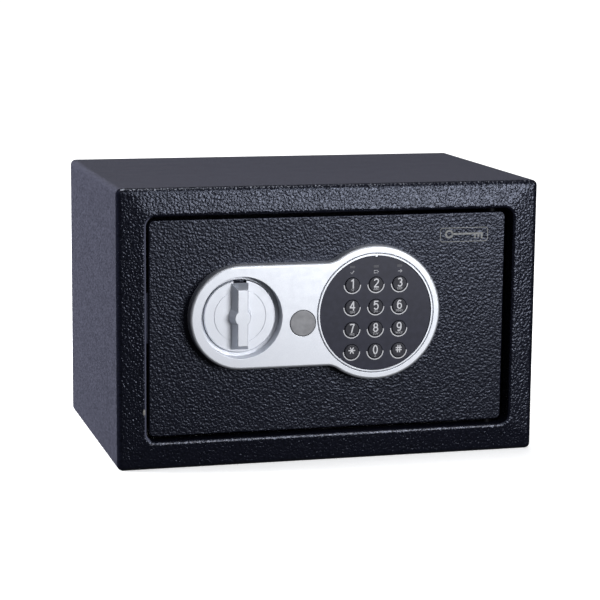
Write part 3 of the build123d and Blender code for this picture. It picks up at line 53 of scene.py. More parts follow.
def look_matrix(yaw, pitch, roll):
    """Camera axes for a heading to the right of +Y, a downward pitch and a roll, in degrees."""
    yaw, pitch, roll = (math.radians(a) for a in (yaw, pitch, roll))
    ahead = math.cos(pitch)
    forward = Vector((math.sin(yaw) * ahead, math.cos(yaw) * ahead, -math.sin(pitch)))
    level = Vector((math.cos(yaw), -math.sin(yaw), 0))
    upright = level.cross(forward)
    right = math.cos(roll) * level + math.sin(roll) * upright
    up = -math.sin(roll) * level + math.cos(roll) * upright
    return Matrix((right, up, -forward)).transposed().to_4x4()


def make_camera():
    data = bpy.data.cameras.new("camera")
    data.lens = CAMERA_LENS
    data.sensor_width = SENSOR_WIDTH
    data.clip_end = 50.0
    camera = bpy.data.objects.new("camera", data)
    place = Matrix.Translation(CAMERA_PLACE)
    camera.matrix_world = place @ look_matrix(CAMERA_YAW, CAMERA_PITCH, CAMERA_ROLL)
    bpy.context.scene.collection.objects.link(camera)
    bpy.context.scene.camera = camera


FRONT_MIDDLE = (0, -0.1, 0.1)
LEFT_MIDDLE = (-0.15, 0, 0.1)
# name, place, target, width and height in metres, watts, colour, whether it makes glints
SOFTBOXES = (
    ("key", (0.40, -1.05, 0.31), FRONT_MIDDLE, (0.40, 0.34), 7.3, (0.97, 0.98, 1.0), True),
    ("top_strip", (0.05, -0.60, 0.56), FRONT_MIDDLE, (0.45, 0.10), 1.3, (0.95, 0.97, 1.0), True),
    ("left_panel", (-2.0, 0.9, 0.7), LEFT_MIDDLE, (1.4, 1.2), 150, (0.95, 0.96, 1.0), False),
)
SUN_STRENGTH = 2.15
SUN_SPREAD = 30
SUN_TILT = (-14, -6, 0)
WORLD_COLOUR = (0.90, 0.94, 1.0, 1)
WORLD_STRENGTH = 0.05


def area_light(name, place, target, size, power, colour, glints):
    """Softbox aimed at a point; without glints it only lights matt surfaces."""
    data = bpy.data.lights.new(name, "AREA")
    data.shape = "RECTANGLE"
    data.size, data.size_y = size
    data.energy = power
    data.color = colour
    light = bpy.data.objects.new(name, data)
    aim = (Vector(target) - Vector(place)).to_track_quat("-Z", "Y")
    light.matrix_world = Matrix.Translation(place) @ aim.to_matrix().to_4x4()
    light.visible_glossy = glints
    bpy.context.scene.collection.objects.link(light)


def make_lights():
    for softbox in SOFTBOXES:
        area_light(*softbox)
    sun = bpy.data.lights.new("overhead", "SUN")
    sun.energy = SUN_STRENGTH
    sun.angle = math.radians(SUN_SPREAD)
    light = bpy.data.objects.new("overhead", sun)
    light.rotation_euler = [math.radians(a) for a in SUN_TILT]
    bpy.context.scene.collection.objects.link(light)


def make_world():
    """Dim pale surroundings, the plain view transform that keeps the floor white, and denoising."""
    world = bpy.data.worlds.new("studio")
    world.use_nodes = True
    background = world.node_tree.nodes["Background"]
    background.inputs["Color"].default_value = WORLD_COLOUR
    background.inputs["Strength"].default_value = WORLD_STRENGTH
    bpy.context.scene.world = world
    bpy.context.scene.view_settings.view_transform = "Standard"
    bpy.context.scene.cycles.use_denoising = True


# ---------------------------------------------------------------- node helpers
class Shader:
    """A material being built: one Principled shader and short calls that add nodes to it."""

    def __init__(self, name, colour, roughness, metallic=0.0, **sockets):
        self.material = bpy.data.materials.new(name)
        self.material.use_nodes = True
        self.tree = self.material.node_tree
        self.bsdf = self.tree.nodes["Principled BSDF"]
        self.set("Base Color", (*colour, 1))
        self.set("Roughness", roughness)
        self.set("Metallic", metallic)
        for socket, value in sockets.items():
            self.set(socket.replace("_", " "), value)
        self.place = self.node("ShaderNodeTexCoord").outputs["Object"]

    def set(self, socket, value):
        self.bsdf.inputs[socket].default_value = value

    def node(self, kind, **values):
        node = self.tree.nodes.new(kind)
        for name, value in values.items():
            setattr(node, name, value)
        return node

    def link(self, source, target):
        self.tree.links.new(source, target)

    def feed(self, node, **inputs):
        """Sets or links inputs of a node by name."""
        for name, value in inputs.items():
            socket = node.inputs[name.replace("_", " ")]
            if isinstance(value, bpy.types.NodeSocket):
                self.link(value, socket)
            else:
                socket.default_value = value
        return node

    def mapped(self, scale=(1, 1, 1), turn=(0, 0, 0)):
        """The place on the object, turned by degrees and scaled."""
        node = self.node("ShaderNodeMapping")
        self.link(self.place, node.inputs["Vector"])
        node.inputs["Scale"].default_value = scale
        node.inputs["Rotation"].default_value = [math.radians(a) for a in turn]
        return node.outputs["Vector"]

    def noise(self, scale, detail=2.0, roughness=0.5, distortion=0.0, vector=None):
        node = self.node("ShaderNodeTexNoise")
        self.feed(node, Vector=vector or self.place, Scale=scale, Detail=detail)
        self.feed(node, Roughness=roughness, Distortion=distortion)
        return node.outputs["Fac"]

    def cells(self, scale, vector=None, feature="SMOOTH_F1"):
        node = self.node("ShaderNodeTexVoronoi", feature=feature)
        self.feed(node, Vector=vector or self.place, Scale=scale)
        return node.outputs["Distance"]

    def ramp(self, value, low, high, from_value=0.0, to_value=1.0):
        """Maps low..high to from_value..to_value with soft ends, clamped."""
        node = self.node("ShaderNodeMapRange", interpolation_type="SMOOTHSTEP")
        names = ("Value", "From Min", "From Max", "To Min", "To Max")
        for name, item in zip(names, (value, low, high, from_value, to_value)):
            self.feed(node, **{name.replace(" ", "_"): item})
        return node.outputs["Result"]

    def math(self, operation, a, b=0.0, c=0.0):
        node = self.node("ShaderNodeMath", operation=operation)
        for socket, value in zip(node.inputs, (a, b, c)):
            if isinstance(value, bpy.types.NodeSocket):
                self.link(value, socket)
            else:
                socket.default_value = value
        return node.outputs["Value"]

    def mix(self, factor, first, second):
        """Mixes two colours."""
        node = self.node("ShaderNodeMix", data_type="RGBA")
        sockets = (node.inputs["Factor"], node.inputs[6], node.inputs[7])
        for socket, value in zip(sockets, (factor, first, second)):
            if isinstance(value, bpy.types.NodeSocket):
                self.link(value, socket)
            elif socket is node.inputs["Factor"]:
                socket.default_value = value
            else:
                socket.default_value = (*value, 1)
        return node.outputs[2]

    def axis(self, name):
        """One coordinate of the place on the object, in metres."""
        node = self.node("ShaderNodeSeparateXYZ")
        self.link(self.place, node.inputs["Vector"])
        return node.outputs[name]

    def bump(self, height, depth, strength=1.0):
        """Adds relief of a depth in metres; the first call lies under the second."""
        node = self.node("ShaderNodeBump")
        node.inputs["Strength"].default_value = strength
        node.inputs["Distance"].default_value = depth
        self.link(height, node.inputs["Height"])
        normal = self.bsdf.inputs["Normal"]
        if normal.is_linked:
            self.link(normal.links[0].from_socket, node.inputs["Normal"])
        self.link(node.outputs["Normal"], normal)

    def colour(self, socket):
        self.link(socket, self.bsdf.inputs["Base Color"])

    def colour_so_far(self):
        return self.bsdf.inputs["Base Color"].links[0].from_socket

    def roughness(self, socket):
        self.link(socket, self.bsdf.inputs["Roughness"])


def near(shader, value, centre, reach):
    """1 at a coordinate value of centre, falling to 0 at reach from it."""
    away = shader.math("ABSOLUTE", shader.math("SUBTRACT", value, centre))
    return shader.ramp(away, 0.0, reach, 1.0, 0.0)


SPOT_WOBBLE = 0.35  # share of the radius by which a spot's outline wanders


def spot(shader, centre, radius, stretch):
    """1 within an irregular spot round a point, drawn out along Z by the stretch."""
    scale = (1, 1, 1 / stretch)
    offset = shader.node("ShaderNodeVectorMath", operation="DISTANCE")
    shader.link(shader.mapped(scale), offset.inputs[0])
    offset.inputs[1].default_value = [c * f for c, f in zip(centre, scale)]
    ragged = shader.math("MULTIPLY", shader.noise(1400, 2.0), 2 * SPOT_WOBBLE * radius)
    reach = shader.math("ADD", offset.outputs["Value"], ragged)
    return shader.ramp(reach, radius * 0.95, radius * 1.15, 1.0, 0.0)


# ---------------------------------------------------------------- materials
# how steeply the frame's face falls away from the opening, and the rounding where two falls meet
CROWN_TOP, CROWN_RIGHT, CROWN_LEFT, CROWN_BOTTOM = 0.085, 0.095, 0.14, 0.17
CROWN_BLEND = 0.0006


def frame_crown(s):
    """Height of the pressed frame's face, in metres: it falls away from the opening on all four sides."""
    low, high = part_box("door_plate")
    x = s.axis("X")
    z = s.axis("Z")
    falls = (
        (s.math("SUBTRACT", z, high.z), CROWN_TOP),
        (s.math("SUBTRACT", x, high.x), CROWN_RIGHT),
        (s.math("SUBTRACT", low.x, x), CROWN_LEFT),
        (s.math("SUBTRACT", low.z, z), CROWN_BOTTOM),
    )
    deepest = 0.0
    for beyond, slope in falls:
        deepest = s.math("SMOOTH_MAX", s.math("MULTIPLY", beyond, slope), deepest, CROWN_BLEND)
    return s.math("MULTIPLY", deepest, -1.0)


LIP_WIDTH = 0.0090  # from the door's edge outward
LIP_RISE = 0.0070  # past the door's upper and lower edges
LIP_FADE = 0.0005
FACE_DEPTH = 0.0001  # what lies less deep than this belongs to the frame's flat face


def left_lip_smoothing_and_painted_light(s):
    """1 on the rounding at the opening's left side, where the paint lies thin and smooth, and where a
    painted highlight lightens its colour.
    """
    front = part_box("front_frame")[0].y
    low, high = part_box("door_plate")
    edge = -low.x
    half_height = (high.z - low.z) / 2
    leftward = s.math("MULTIPLY", s.axis("X"), -1.0)
    off_middle = s.math("ABSOLUTE", s.math("SUBTRACT", s.axis("Z"), low.z + half_height))
    reach = half_height + LIP_RISE
    beside = s.ramp(leftward, edge - 2 * LIP_FADE, edge + 2 * LIP_FADE)
    within = s.ramp(leftward, edge + LIP_WIDTH - LIP_FADE, edge + LIP_WIDTH + LIP_FADE, 1.0, 0.0)
    level = s.ramp(off_middle, reach - LIP_FADE, reach + LIP_FADE, 1.0, 0.0)
    behind = s.ramp(s.axis("Y"), front + FACE_DEPTH, front + LIP_FADE)
    side = s.math("MULTIPLY", beside, s.math("MULTIPLY", within, level))
    return s.math("MULTIPLY", behind, side)


LIP_LINE_Z = 0.0186  # on the rounding of the opening's lower edge
LIP_LINE_REACH = 0.0008
LIP_LINE_END = 0.001  # length over which the row fades out past the door's side edges


def lip_bead_highlights(s):
    """1 on the row of pebbles on the rounding under the door, where a painted highlight stands in for the
    light they catch.
    """
    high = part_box("door_plate")[1]
    line = near(s, s.axis("Z"), LIP_LINE_Z, LIP_LINE_REACH)
    along = s.ramp(s.math("ABSOLUTE", s.axis("X")), high.x, high.x + LIP_LINE_END, 1.0, 0.0)
    bead_highlights = s.ramp(s.noise(1000, 2.0), 0.40, 0.60)
    return s.math("MULTIPLY", s.math("MULTIPLY", line, along), bead_highlights)


WRINKLE_COLOUR = (0.0045, 0.0049, 0.0100)
# painted highlight: lighter bluish colour on the opening's left lip, standing in for the key light that
# falls on it
LIP_PAINTED_LIGHT_COLOUR = (0.095, 0.099, 0.142)
SPECULAR_TINT = (0.74, 0.80, 1.0, 1)
WANDER_SCALE = 500.0
WANDER = 0.0018  # how far the pebbles' pattern is pushed about, in metres
PEBBLE_SCALE, SWELL_SCALE, FINE_SCALE = 620, 710, 2200
SWELL_SHARE, FINE_SHARE = 0.9, 0.15
LIP_SMOOTHING = 0.7
LIP_DULLNESS = 0.2


def wrinkle_paint(name, rough, depth=0.00027, shine=0.5, colour=WRINKLE_COLOUR, crown=False):
    """Leather-grain powder coat: low pebbles parted by creases, made uneven by two noises; painted shade
    darkens the creases, and on the frame a painted highlight lightens the opening's left lip.
    """
    s = Shader(name, colour, rough, Specular_IOR_Level=shine, Specular_Tint=SPECULAR_TINT)
    wander = s.node("ShaderNodeTexNoise")
    s.feed(wander, Vector=s.place, Scale=WANDER_SCALE, Detail=1.0)
    shift = s.node("ShaderNodeVectorMath", operation="MULTIPLY_ADD")
    s.link(wander.outputs["Color"], shift.inputs[0])
    shift.inputs[1].default_value = (WANDER, WANDER, WANDER)
    s.link(s.place, shift.inputs[2])
    pebbles = s.cells(PEBBLE_SCALE, shift.outputs["Vector"])
    swell = s.noise(SWELL_SCALE, 2.0, 0.5)
    fine = s.noise(FINE_SCALE, 2.0, 0.6)
    pebble_height = s.ramp(pebbles, 0.05, 0.75, 1.0, 0.0)
    height = s.math("ADD", pebble_height, s.math("MULTIPLY", swell, SWELL_SHARE))
    height = s.math("ADD", height, s.math("MULTIPLY", fine, FINE_SHARE))
    lip = left_lip_smoothing_and_painted_light(s) if crown else None
    if crown:
        s.bump(frame_crown(s), 1.0)
        grained = s.math("SUBTRACT", 1.0, s.math("MULTIPLY", lip, LIP_SMOOTHING))
        height = s.math("MULTIPLY", height, grained)
    s.bump(height, depth)
    # painted shade: the creases between the pebbles are darkened to 0.45 of the colour, standing in for the
    # shade that falls in them
    crease_shade = s.ramp(pebbles, 0.35, 0.8, 0.0, 1.0)
    dark = tuple(0.45 * c for c in colour)
    s.colour(s.mix(crease_shade, colour, dark))
    gloss = s.ramp(fine, 0.3, 0.7, rough - 0.04, rough + 0.06)
    if crown:
        # painted highlight on the opening's left lip
        s.colour(s.mix(lip, s.colour_so_far(), LIP_PAINTED_LIGHT_COLOUR))
        gloss = s.math("ADD", gloss, s.math("MULTIPLY", lip, LIP_DULLNESS))
    s.roughness(gloss)
    return s


WEAR_AMOUNT = 0.6
WORN_COLOUR = (0.05, 0.05, 0.055)
RIGHT_WEAR, BOTTOM_WEAR = 0.0012, 0.0010  # how far in from the edge the paint is rubbed
# painted highlight: pale colour on the row of pebbles along the lip under the door
BEAD_HIGHLIGHT_COLOUR = (0.24, 0.24, 0.27)
CHIP_COLOUR = (0.26, 0.25, 0.23)
CHIP_RADIUS = 0.0014
CHIP_STRETCH = 2.4
CHIP_Z = 0.0420
CHIP_BESIDE_DOOR = 0.0044
CHIP_DEPTH = 0.0004


def edge_wear(s, masks):
    """Lets bare metal show where the masks and a ragged noise both say so."""
    ragged = s.ramp(s.noise(900, 3.0, 0.7), 0.5, 0.62)
    total = masks[0]
    for mask in masks[1:]:
        total = s.math("MAXIMUM", total, mask)
    wear = s.math("MULTIPLY", s.math("MULTIPLY", total, ragged), WEAR_AMOUNT)
    s.colour(s.mix(wear, s.colour_so_far(), WORN_COLOUR))


def paint_frame():
    """The frame's wrinkle paint, rubbed at its edges, with one chip on the lip left of the door, and a row
    of painted highlights on the lip under the door.
    """
    s = wrinkle_paint("frame_wrinkle_paint", 0.26, depth=0.00025, crown=True)
    low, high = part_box("front_frame")
    right_edge = near(s, s.axis("X"), high.x, RIGHT_WEAR)
    bottom_edge = near(s, s.axis("Z"), low.z, BOTTOM_WEAR)
    edge_wear(s, (right_edge, bottom_edge))
    door_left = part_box("door_plate")[0].x
    chip_place = (door_left - CHIP_BESIDE_DOOR, low.y + CHIP_DEPTH, CHIP_Z)
    # painted highlights on the lip under the door
    s.colour(s.mix(lip_bead_highlights(s), s.colour_so_far(), BEAD_HIGHLIGHT_COLOUR))
    s.colour(s.mix(spot(s, chip_place, CHIP_RADIUS, CHIP_STRETCH), s.colour_so_far(), CHIP_COLOUR))
    return s.material


def paint_door():
    return wrinkle_paint("door_wrinkle_paint", 0.30, depth=0.00021, shine=0.41).material


def paint_body():
    """Fine matt powder coat: tight grain with pale specks."""
    s = Shader("body_fine_paint", (0.036, 0.037, 0.049), 0.62, Specular_IOR_Level=0.25)
    grain = s.noise(2600, 2.0, 0.6)
    s.bump(grain, 0.00020, 0.8)
    specks = s.ramp(s.noise(900, 2.0), 0.40, 0.64)
    s.colour(s.mix(specks, (0.023, 0.0235, 0.033), (0.056, 0.057, 0.077)))
    s.roughness(s.ramp(s.noise(60, 3.0), 0.3, 0.7, 0.58, 0.63))
    return s.material


def satin_silver(name, colour=(0.75, 0.77, 0.82)):
    """Silver lacquer on plastic: fine flake, soft sheen and a faint orange peel."""
    s = Shader(name, colour, 0.52, 0.86, Coat_Weight=0.15, Coat_Roughness=0.3)
    flake = s.noise(5200, 2.0, 0.7)
    bright = tuple(min(1.0, 1.07 * c) for c in colour)
    dull = tuple(0.93 * c for c in colour)
    s.colour(s.mix(s.ramp(flake, 0.35, 0.65), dull, bright))
    s.roughness(s.ramp(s.noise(180, 3.0), 0.3, 0.7, 0.49, 0.56))
    s.bump(s.noise(2200, 1.0), 0.00003, 0.5)
    return s.material


def turned_metal(name, colour, rough, axis_turn=(0, 0, 0)):
    """Metal with fine drawn lines along one direction."""
    s = Shader(name, colour, rough, 1.0)
    lines = s.noise(300, 3.0, 0.6, 0.0, s.mapped((1, 14, 14), axis_turn))
    dull = tuple(0.8 * c for c in colour)
    s.colour(s.mix(lines, colour, dull))
    s.roughness(s.ramp(lines, 0.3, 0.7, rough * 0.8, rough * 1.25))
    s.bump(lines, 0.00002, 0.6)
    return s.material


def zinc_plate():
    """Zinc plated sheet: pale with a cloudy spangle."""
    tint = (0.62, 0.62, 0.58)
    s = Shader("zinc_plate", tint, 0.38, 1.0)
    cloud = s.cells(260, feature="F1")
    pale = tuple(min(1.0, 1.12 * c) for c in tint)
    dull = tuple(0.82 * c for c in tint)
    s.colour(s.mix(s.ramp(cloud, 0.1, 0.7), pale, dull))
    s.roughness(s.ramp(s.noise(700, 3.0), 0.3, 0.7, 0.3, 0.48))
    s.bump(s.noise(1600, 2.0), 0.00003, 0.5)
    return s.material


def moulded(name, colour, rough, grain=2400, depth=0.00003):
    """Moulded plastic or rubber with a spark-eroded grain."""
    s = Shader(name, colour, rough, Specular_IOR_Level=0.3)
    texture = s.noise(grain, 2.0, 0.6)
    lighter = tuple(min(1.0, 1.12 * c) for c in colour)
    darker = tuple(0.88 * c for c in colour)
    s.colour(s.mix(s.ramp(s.noise(240, 3.0), 0.3, 0.7), darker, lighter))
    s.roughness(s.ramp(texture, 0.3, 0.7, rough * 0.88, rough * 1.12))
    s.bump(texture, depth, 0.6)
    return s.material


def felt():
    """Needle felt: short tangled fibres with a pale fuzz."""
    s = Shader("needle_felt", (0.035, 0.036, 0.042), 0.95, Sheen_Weight=0.35, Sheen_Roughness=0.5)
    fibres = s.noise(1400, 4.0, 0.75, 2.5)
    s.colour(s.mix(s.ramp(fibres, 0.4, 0.65), (0.022, 0.022, 0.026), (0.075, 0.077, 0.088)))
    s.bump(fibres, 0.0004, 0.9)
    s.bump(s.noise(90, 3.0), 0.0006, 0.5)
    return s.material


def circuit_board():
    """Green solder resist with faint tracks underneath."""
    resist = (0.012, 0.10, 0.04)
    s = Shader("solder_resist", resist, 0.32, Coat_Weight=0.3, Coat_Roughness=0.2)
    tracks = s.node("ShaderNodeTexBrick")
    s.feed(tracks, Vector=s.mapped((1, 1, 1), (90, 0, 0)), Scale=60.0, Mortar_Size=0.03)
    s.colour(s.mix(tracks.outputs["Fac"], resist, (0.02, 0.17, 0.07)))
    s.bump(tracks.outputs["Fac"], 0.00004, 0.6)
    return s.material


def cell_jacket():
    """Battery jacket: dark wrap with a plain orange band round each cell."""
    low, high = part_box("batteries")
    wrap = (0.02, 0.02, 0.022)
    s = Shader("cell_jacket", wrap, 0.28, 0.3)
    z = s.axis("Z")
    length = high.z - low.z
    band = near(s, z, high.z - 0.24 * length, 0.18 * length)
    sharp = s.ramp(band, 0.35, 0.4)
    smudge = s.ramp(s.noise(400, 3.0), 0.3, 0.7)
    s.colour(s.mix(sharp, wrap, (0.62, 0.24, 0.05)))
    s.roughness(s.ramp(smudge, 0.0, 1.0, 0.24, 0.38))
    s.bump(s.noise(900, 2.0), 0.00002, 0.5)
    return s.material


def winding():
    """Taped coil winding: fine turns along Z."""
    s = Shader("coil_tape", (0.55, 0.26, 0.04), 0.35)
    turns = s.node("ShaderNodeTexWave", bands_direction="Z")
    s.feed(turns, Vector=s.place, Scale=900.0, Distortion=0.3)
    s.colour(s.mix(turns.outputs["Fac"], (0.38, 0.15, 0.03), (0.62, 0.31, 0.07)))
    s.bump(turns.outputs["Fac"], 0.0001, 0.7)
    return s.material


def legend_ink(name, colour):
    """Screen printed ink: slightly broken at a fine scale."""
    s = Shader(name, colour, 0.5)
    thin = tuple(0.82 * c for c in colour)
    s.colour(s.mix(s.ramp(s.noise(3500, 2.0), 0.35, 0.6), thin, colour))
    s.bump(s.noise(3000, 2.0), 0.00002, 0.5)
    return s.material


def badge_ink():
    """Grey ink that follows the wrinkle of the paint below it."""
    return wrinkle_paint("badge_ink", 0.5, colour=(0.26, 0.26, 0.245)).material


def pale_floor():
    """White floor that glows a little, so that it stays white round the object."""
    s = Shader("studio_floor", (0.92, 0.92, 0.92), 0.8, Emission_Strength=0.5)
    s.bump(s.noise(25, 2.0), 0.0002, 0.2)
    return s.material


def assign(material, *names):
    for name in names:
        slots = NODES[name].data.materials
        slots.clear()
        slots.append(material)


def dress_cad_nodes():
    assign(paint_frame(), "front_frame")
    assign(paint_door(), "door_plate")
    assign(paint_body(), "body_wrap", "back_panel")
    assign(satin_silver("bezel_silver"), "bezel")
    assign(satin_silver("knob_silver"), "knob")
    assign(satin_silver("ring_bright", (0.80, 0.82, 0.87)), "keypad_ring")
    assign(moulded("keypad_dark", (0.026, 0.027, 0.044), 0.42), "keypad_panel")
    assign(moulded("key_dark", (0.028, 0.028, 0.038), 0.45), *KEY_LEGENDS)
    assign(moulded("cap_grey", (0.305, 0.305, 0.32), 0.45), "override_cap")
    assign(moulded("light_window", (0.10, 0.10, 0.115), 0.25), "status_lights")
    steel = zinc_plate()
    assign(steel, "hinge_blocks", "knob_spindle", "crank_arm", "bolt_carrier", "bolt_guide")
    assign(steel, "guide_studs", "solenoid_frame", "override_cam", "cover_posts", "cover_screws")
    assign(steel, "bezel_screws")
    assign(turned_metal("bolt_steel", (0.75, 0.75, 0.74), 0.25), "bolt_upper", "bolt_lower")
    upright = turned_metal("pin_steel", (0.7, 0.7, 0.69), 0.28, (0, 90, 0))
    assign(upright, "solenoid_plunger", "plunger_spring")
    assign(turned_metal("pin_blackened", (0.015, 0.015, 0.017), 0.6, (0, 90, 0)), "hinge_pins")
    nickel = turned_metal("lock_nickel", (0.62, 0.61, 0.57), 0.25, (0, 0, 90))
    assign(nickel, "override_lock_body", "override_lock_nut")
    assign(turned_metal("lock_brass", (0.75, 0.55, 0.25), 0.3, (0, 0, 90)), "override_plug")
    assign(turned_metal("contact_nickel", (0.78, 0.76, 0.7), 0.22), "battery_contacts")
    assign(moulded("nylon", (0.72, 0.71, 0.66), 0.5), "spindle_bush", "board_spacers")
    assign(moulded("silicone", (0.2, 0.21, 0.23), 0.6), "key_mat")
    assign(circuit_board(), "keypad_board", "control_board")
    assign(moulded("component_black", (0.02, 0.02, 0.022), 0.35), "board_components", "bolt_screws")
    assign(winding(), "solenoid_coil")
    assign(cell_jacket(), "batteries")
    cover = moulded("cover_paint", (0.022, 0.022, 0.026), 0.55, 1800, 0.00006)
    assign(cover, "inner_cover", "hinge_brackets")
    assign(moulded("tray_plastic", (0.025, 0.025, 0.028), 0.5), "battery_box", "battery_cover")
    assign(moulded("reset_red", (0.45, 0.012, 0.012), 0.3), "reset_button")
    assign(moulded("lead_sheath", (0.03, 0.03, 0.03), 0.45), "keypad_lead", "battery_lead", "solenoid_lead")


# ---------------------------------------------------------------- printed and small pieces
def link_piece(name, mesh, material, body):
    """Puts a mesh into the scene as a piece that moves with a body."""
    mesh.materials.clear()
    mesh.materials.append(material)
    piece = bpy.data.objects.new(name, mesh)
    bpy.context.scene.collection.objects.link(piece)
    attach(piece, body)
    return piece


def mesh_piece(name, bm, material, body):
    mesh = bpy.data.meshes.new(name)
    bm.to_mesh(mesh)
    bm.free()
    link_piece(name, mesh, material, body)


def baked(source):
    """Mesh of an object with its modifiers or curves worked out; the object itself is removed."""
    bpy.context.scene.collection.objects.link(source)
    bpy.context.view_layer.update()
    mesh = bpy.data.meshes.new_from_object(source.evaluated_get(bpy.context.evaluated_depsgraph_get()))
    bpy.data.objects.remove(source)
    return mesh


def strip(bm, points, width, y, thickness, closed=False):
    """Flat band of even width along points given as X and Z, standing off the plane at depth y."""
    count = len(points)
    rings = []
    for i, (x, z) in enumerate(points):
        before = points[i - 1] if closed or i > 0 else points[i]
        after = points[(i + 1) % count] if closed or i < count - 1 else points[i]
        direction = Vector((after[0] - before[0], after[1] - before[1])).normalized()
        side = Vector((-direction.y, direction.x)) * width / 2
        corners = []
        for sign, depth in ((1, y), (1, y - thickness), (-1, y - thickness), (-1, y)):
            corners.append(bm.verts.new((x + sign * side.x, depth, z + sign * side.y)))
        rings.append(corners)
    pairs = zip(rings, rings[1:] + rings[:1]) if closed else zip(rings, rings[1:])
    for first, second in pairs:
        for k in range(4):
            m = (k + 1) % 4
            bm.faces.new((first[k], first[m], second[m], second[k]))
    if not closed:
        bm.faces.new(rings[0][::-1])
        bm.faces.new(rings[-1])


def text_piece(name, words, x, z, y, material, body):
    """Small printed letters centred on X and Z, facing the front."""
    curve = bpy.data.curves.new(name, "FONT")
    curve.body = words
    curve.size = LETTER_SIZE
    curve.offset = LETTER_BOLDNESS
    curve.extrude = PRINT / 2
    curve.resolution_u = 6
    mesh = baked(bpy.data.objects.new(name, curve))
    places = [v.co for v in mesh.vertices]
    middle_x = (min(p.x for p in places) + max(p.x for p in places)) / 2
    middle_y = (min(p.y for p in places) + max(p.y for p in places)) / 2
    centre = Matrix.Translation((-middle_x, -middle_y, 0))
    upright = Matrix.Rotation(math.radians(90), 4, "X")
    mesh.transform(Matrix.Translation((x, y - PRINT / 2, z)) @ upright @ centre)
    link_piece(name, mesh, material, body)


KEY_LEGENDS = {
    "key_1": ("1", "Q"), "key_2": ("2", "ABC"), "key_3": ("3", "DEF"),
    "key_4": ("4", "GHI"), "key_5": ("5", "JKL"), "key_6": ("6", "MNO"),
    "key_7": ("7", "PRS"), "key_8": ("8", "TUV"), "key_9": ("9", "WXY"),
    "key_star": ("*", ""), "key_0": ("0", "Z"), "key_hash": ("#", ""),
}


def oval(x, z, rx, rz, start=0, end=360, count=28):
    """Points on an ellipse from one angle to another, in degrees."""
    angles = [math.radians(start + (end - start) * i / count) for i in range(count + 1)]
    return [(x + rx * math.cos(a), z + rz * math.sin(a)) for a in angles]


# strokes of each figure and mark, in units of its height, from its centre
SIX = [oval(0, -0.15, 0.215, 0.275), oval(0.02, 0, 0.235, 0.425, 55, 200)]
STROKES = {
    "0": [oval(0, 0, 0.215, 0.425)],
    "1": [[(0.06, -0.5), (0.06, 0.5)], [(-0.17, 0.27), (0.05, 0.42)]],
    "2": [oval(0, 0.2, 0.225, 0.225, 170, -35) + [(-0.2, -0.40)], [(-0.27, -0.425), (0.27, -0.425)]],
    "3": [oval(0, 0.2, 0.2, 0.225, 150, -90), oval(0, -0.19, 0.23, 0.235, 90, -150)],
    "4": [[(0.1, 0.42), (-0.26, -0.15)], [(-0.3, -0.17), (0.3, -0.17)], [(0.12, 0.5), (0.12, -0.5)]],
    "5": [[(-0.17, 0.425), (0.24, 0.425)], [(-0.16, 0.46), (-0.2, 0)],
          oval(0, -0.13, 0.23, 0.295, 130, -150)],
    "6": SIX,
    "7": [[(-0.25, 0.425), (0.27, 0.425)], [(0.22, 0.40), (0.06, 0.05), (-0.06, -0.5)]],
    "8": [oval(0, 0.215, 0.185, 0.21), oval(0, -0.2, 0.225, 0.225)],
    "9": [[(-x, -z) for x, z in stroke] for stroke in SIX],
    "*": [[(-0.38, 0), (0.38, 0)], [(-0.19, -0.33), (0.19, 0.33)], [(-0.19, 0.33), (0.19, -0.33)]],
    "#": [[(-0.34, 0.13), (0.34, 0.13)], [(-0.34, -0.13), (0.34, -0.13)],
          [(-0.15, -0.4), (-0.09, 0.4)], [(0.09, -0.4), (0.15, 0.4)]],
    "tick": [[(-0.4, 0.0), (-0.1, -0.35), (0.45, 0.4)]],
    "cell": [[(-0.5, 0.3), (0.4, 0.3), (0.4, -0.3), (-0.5, -0.3), (-0.5, 0.3)], [(0.46, 0), (0.66, 0)]],
    "arrow": [[(-0.5, 0), (0.4, 0)], [(0.1, 0.35), (0.5, 0), (0.1, -0.35)]],
    "key": [oval(-0.39, 0, 0.085, 0.085), [(-0.31, 0), (0.5, 0)],
            [(0.47, 0), (0.47, -0.13)], [(0.38, 0), (0.38, -0.10)], [(0.29, 0), (0.29, -0.12)]],
}
FIGURE_HEIGHT = 0.0067
FIGURE_RISE = 0.0011
FIGURE_WEIGHT = 0.135
MARK_WEIGHT = 0.12
LETTER_SIZE = 0.0023
LETTER_DROP = 0.0033
LETTER_BOLDNESS = 0.00003
ARC_RADIUS = 0.00606
ARC_WIDTH = 0.0007
ARC_HEIGHT = 0.00005
ICON_SIZE = 0.0030
ICON_WEIGHT = 0.14
ICON_DROP = 0.0026
PRINT = 0.00004
PRINT_STEP = 0.000003


def drawn(name, shape, size, weight, x, z, y, material, body):
    """A printed mark made of even strokes; each stroke lies a hair above the one before."""
    bm = bmesh.new()
    for i, stroke in enumerate(STROKES[shape]):
        points = [(x + size * u, z + size * v) for u, v in stroke]
        closed = math.dist(points[0], points[-1]) < 1e-7
        if closed:
            points.pop()
        strip(bm, points, size * weight, y, PRINT + i * PRINT_STEP, closed)
    mesh_piece(name, bm, material, body)


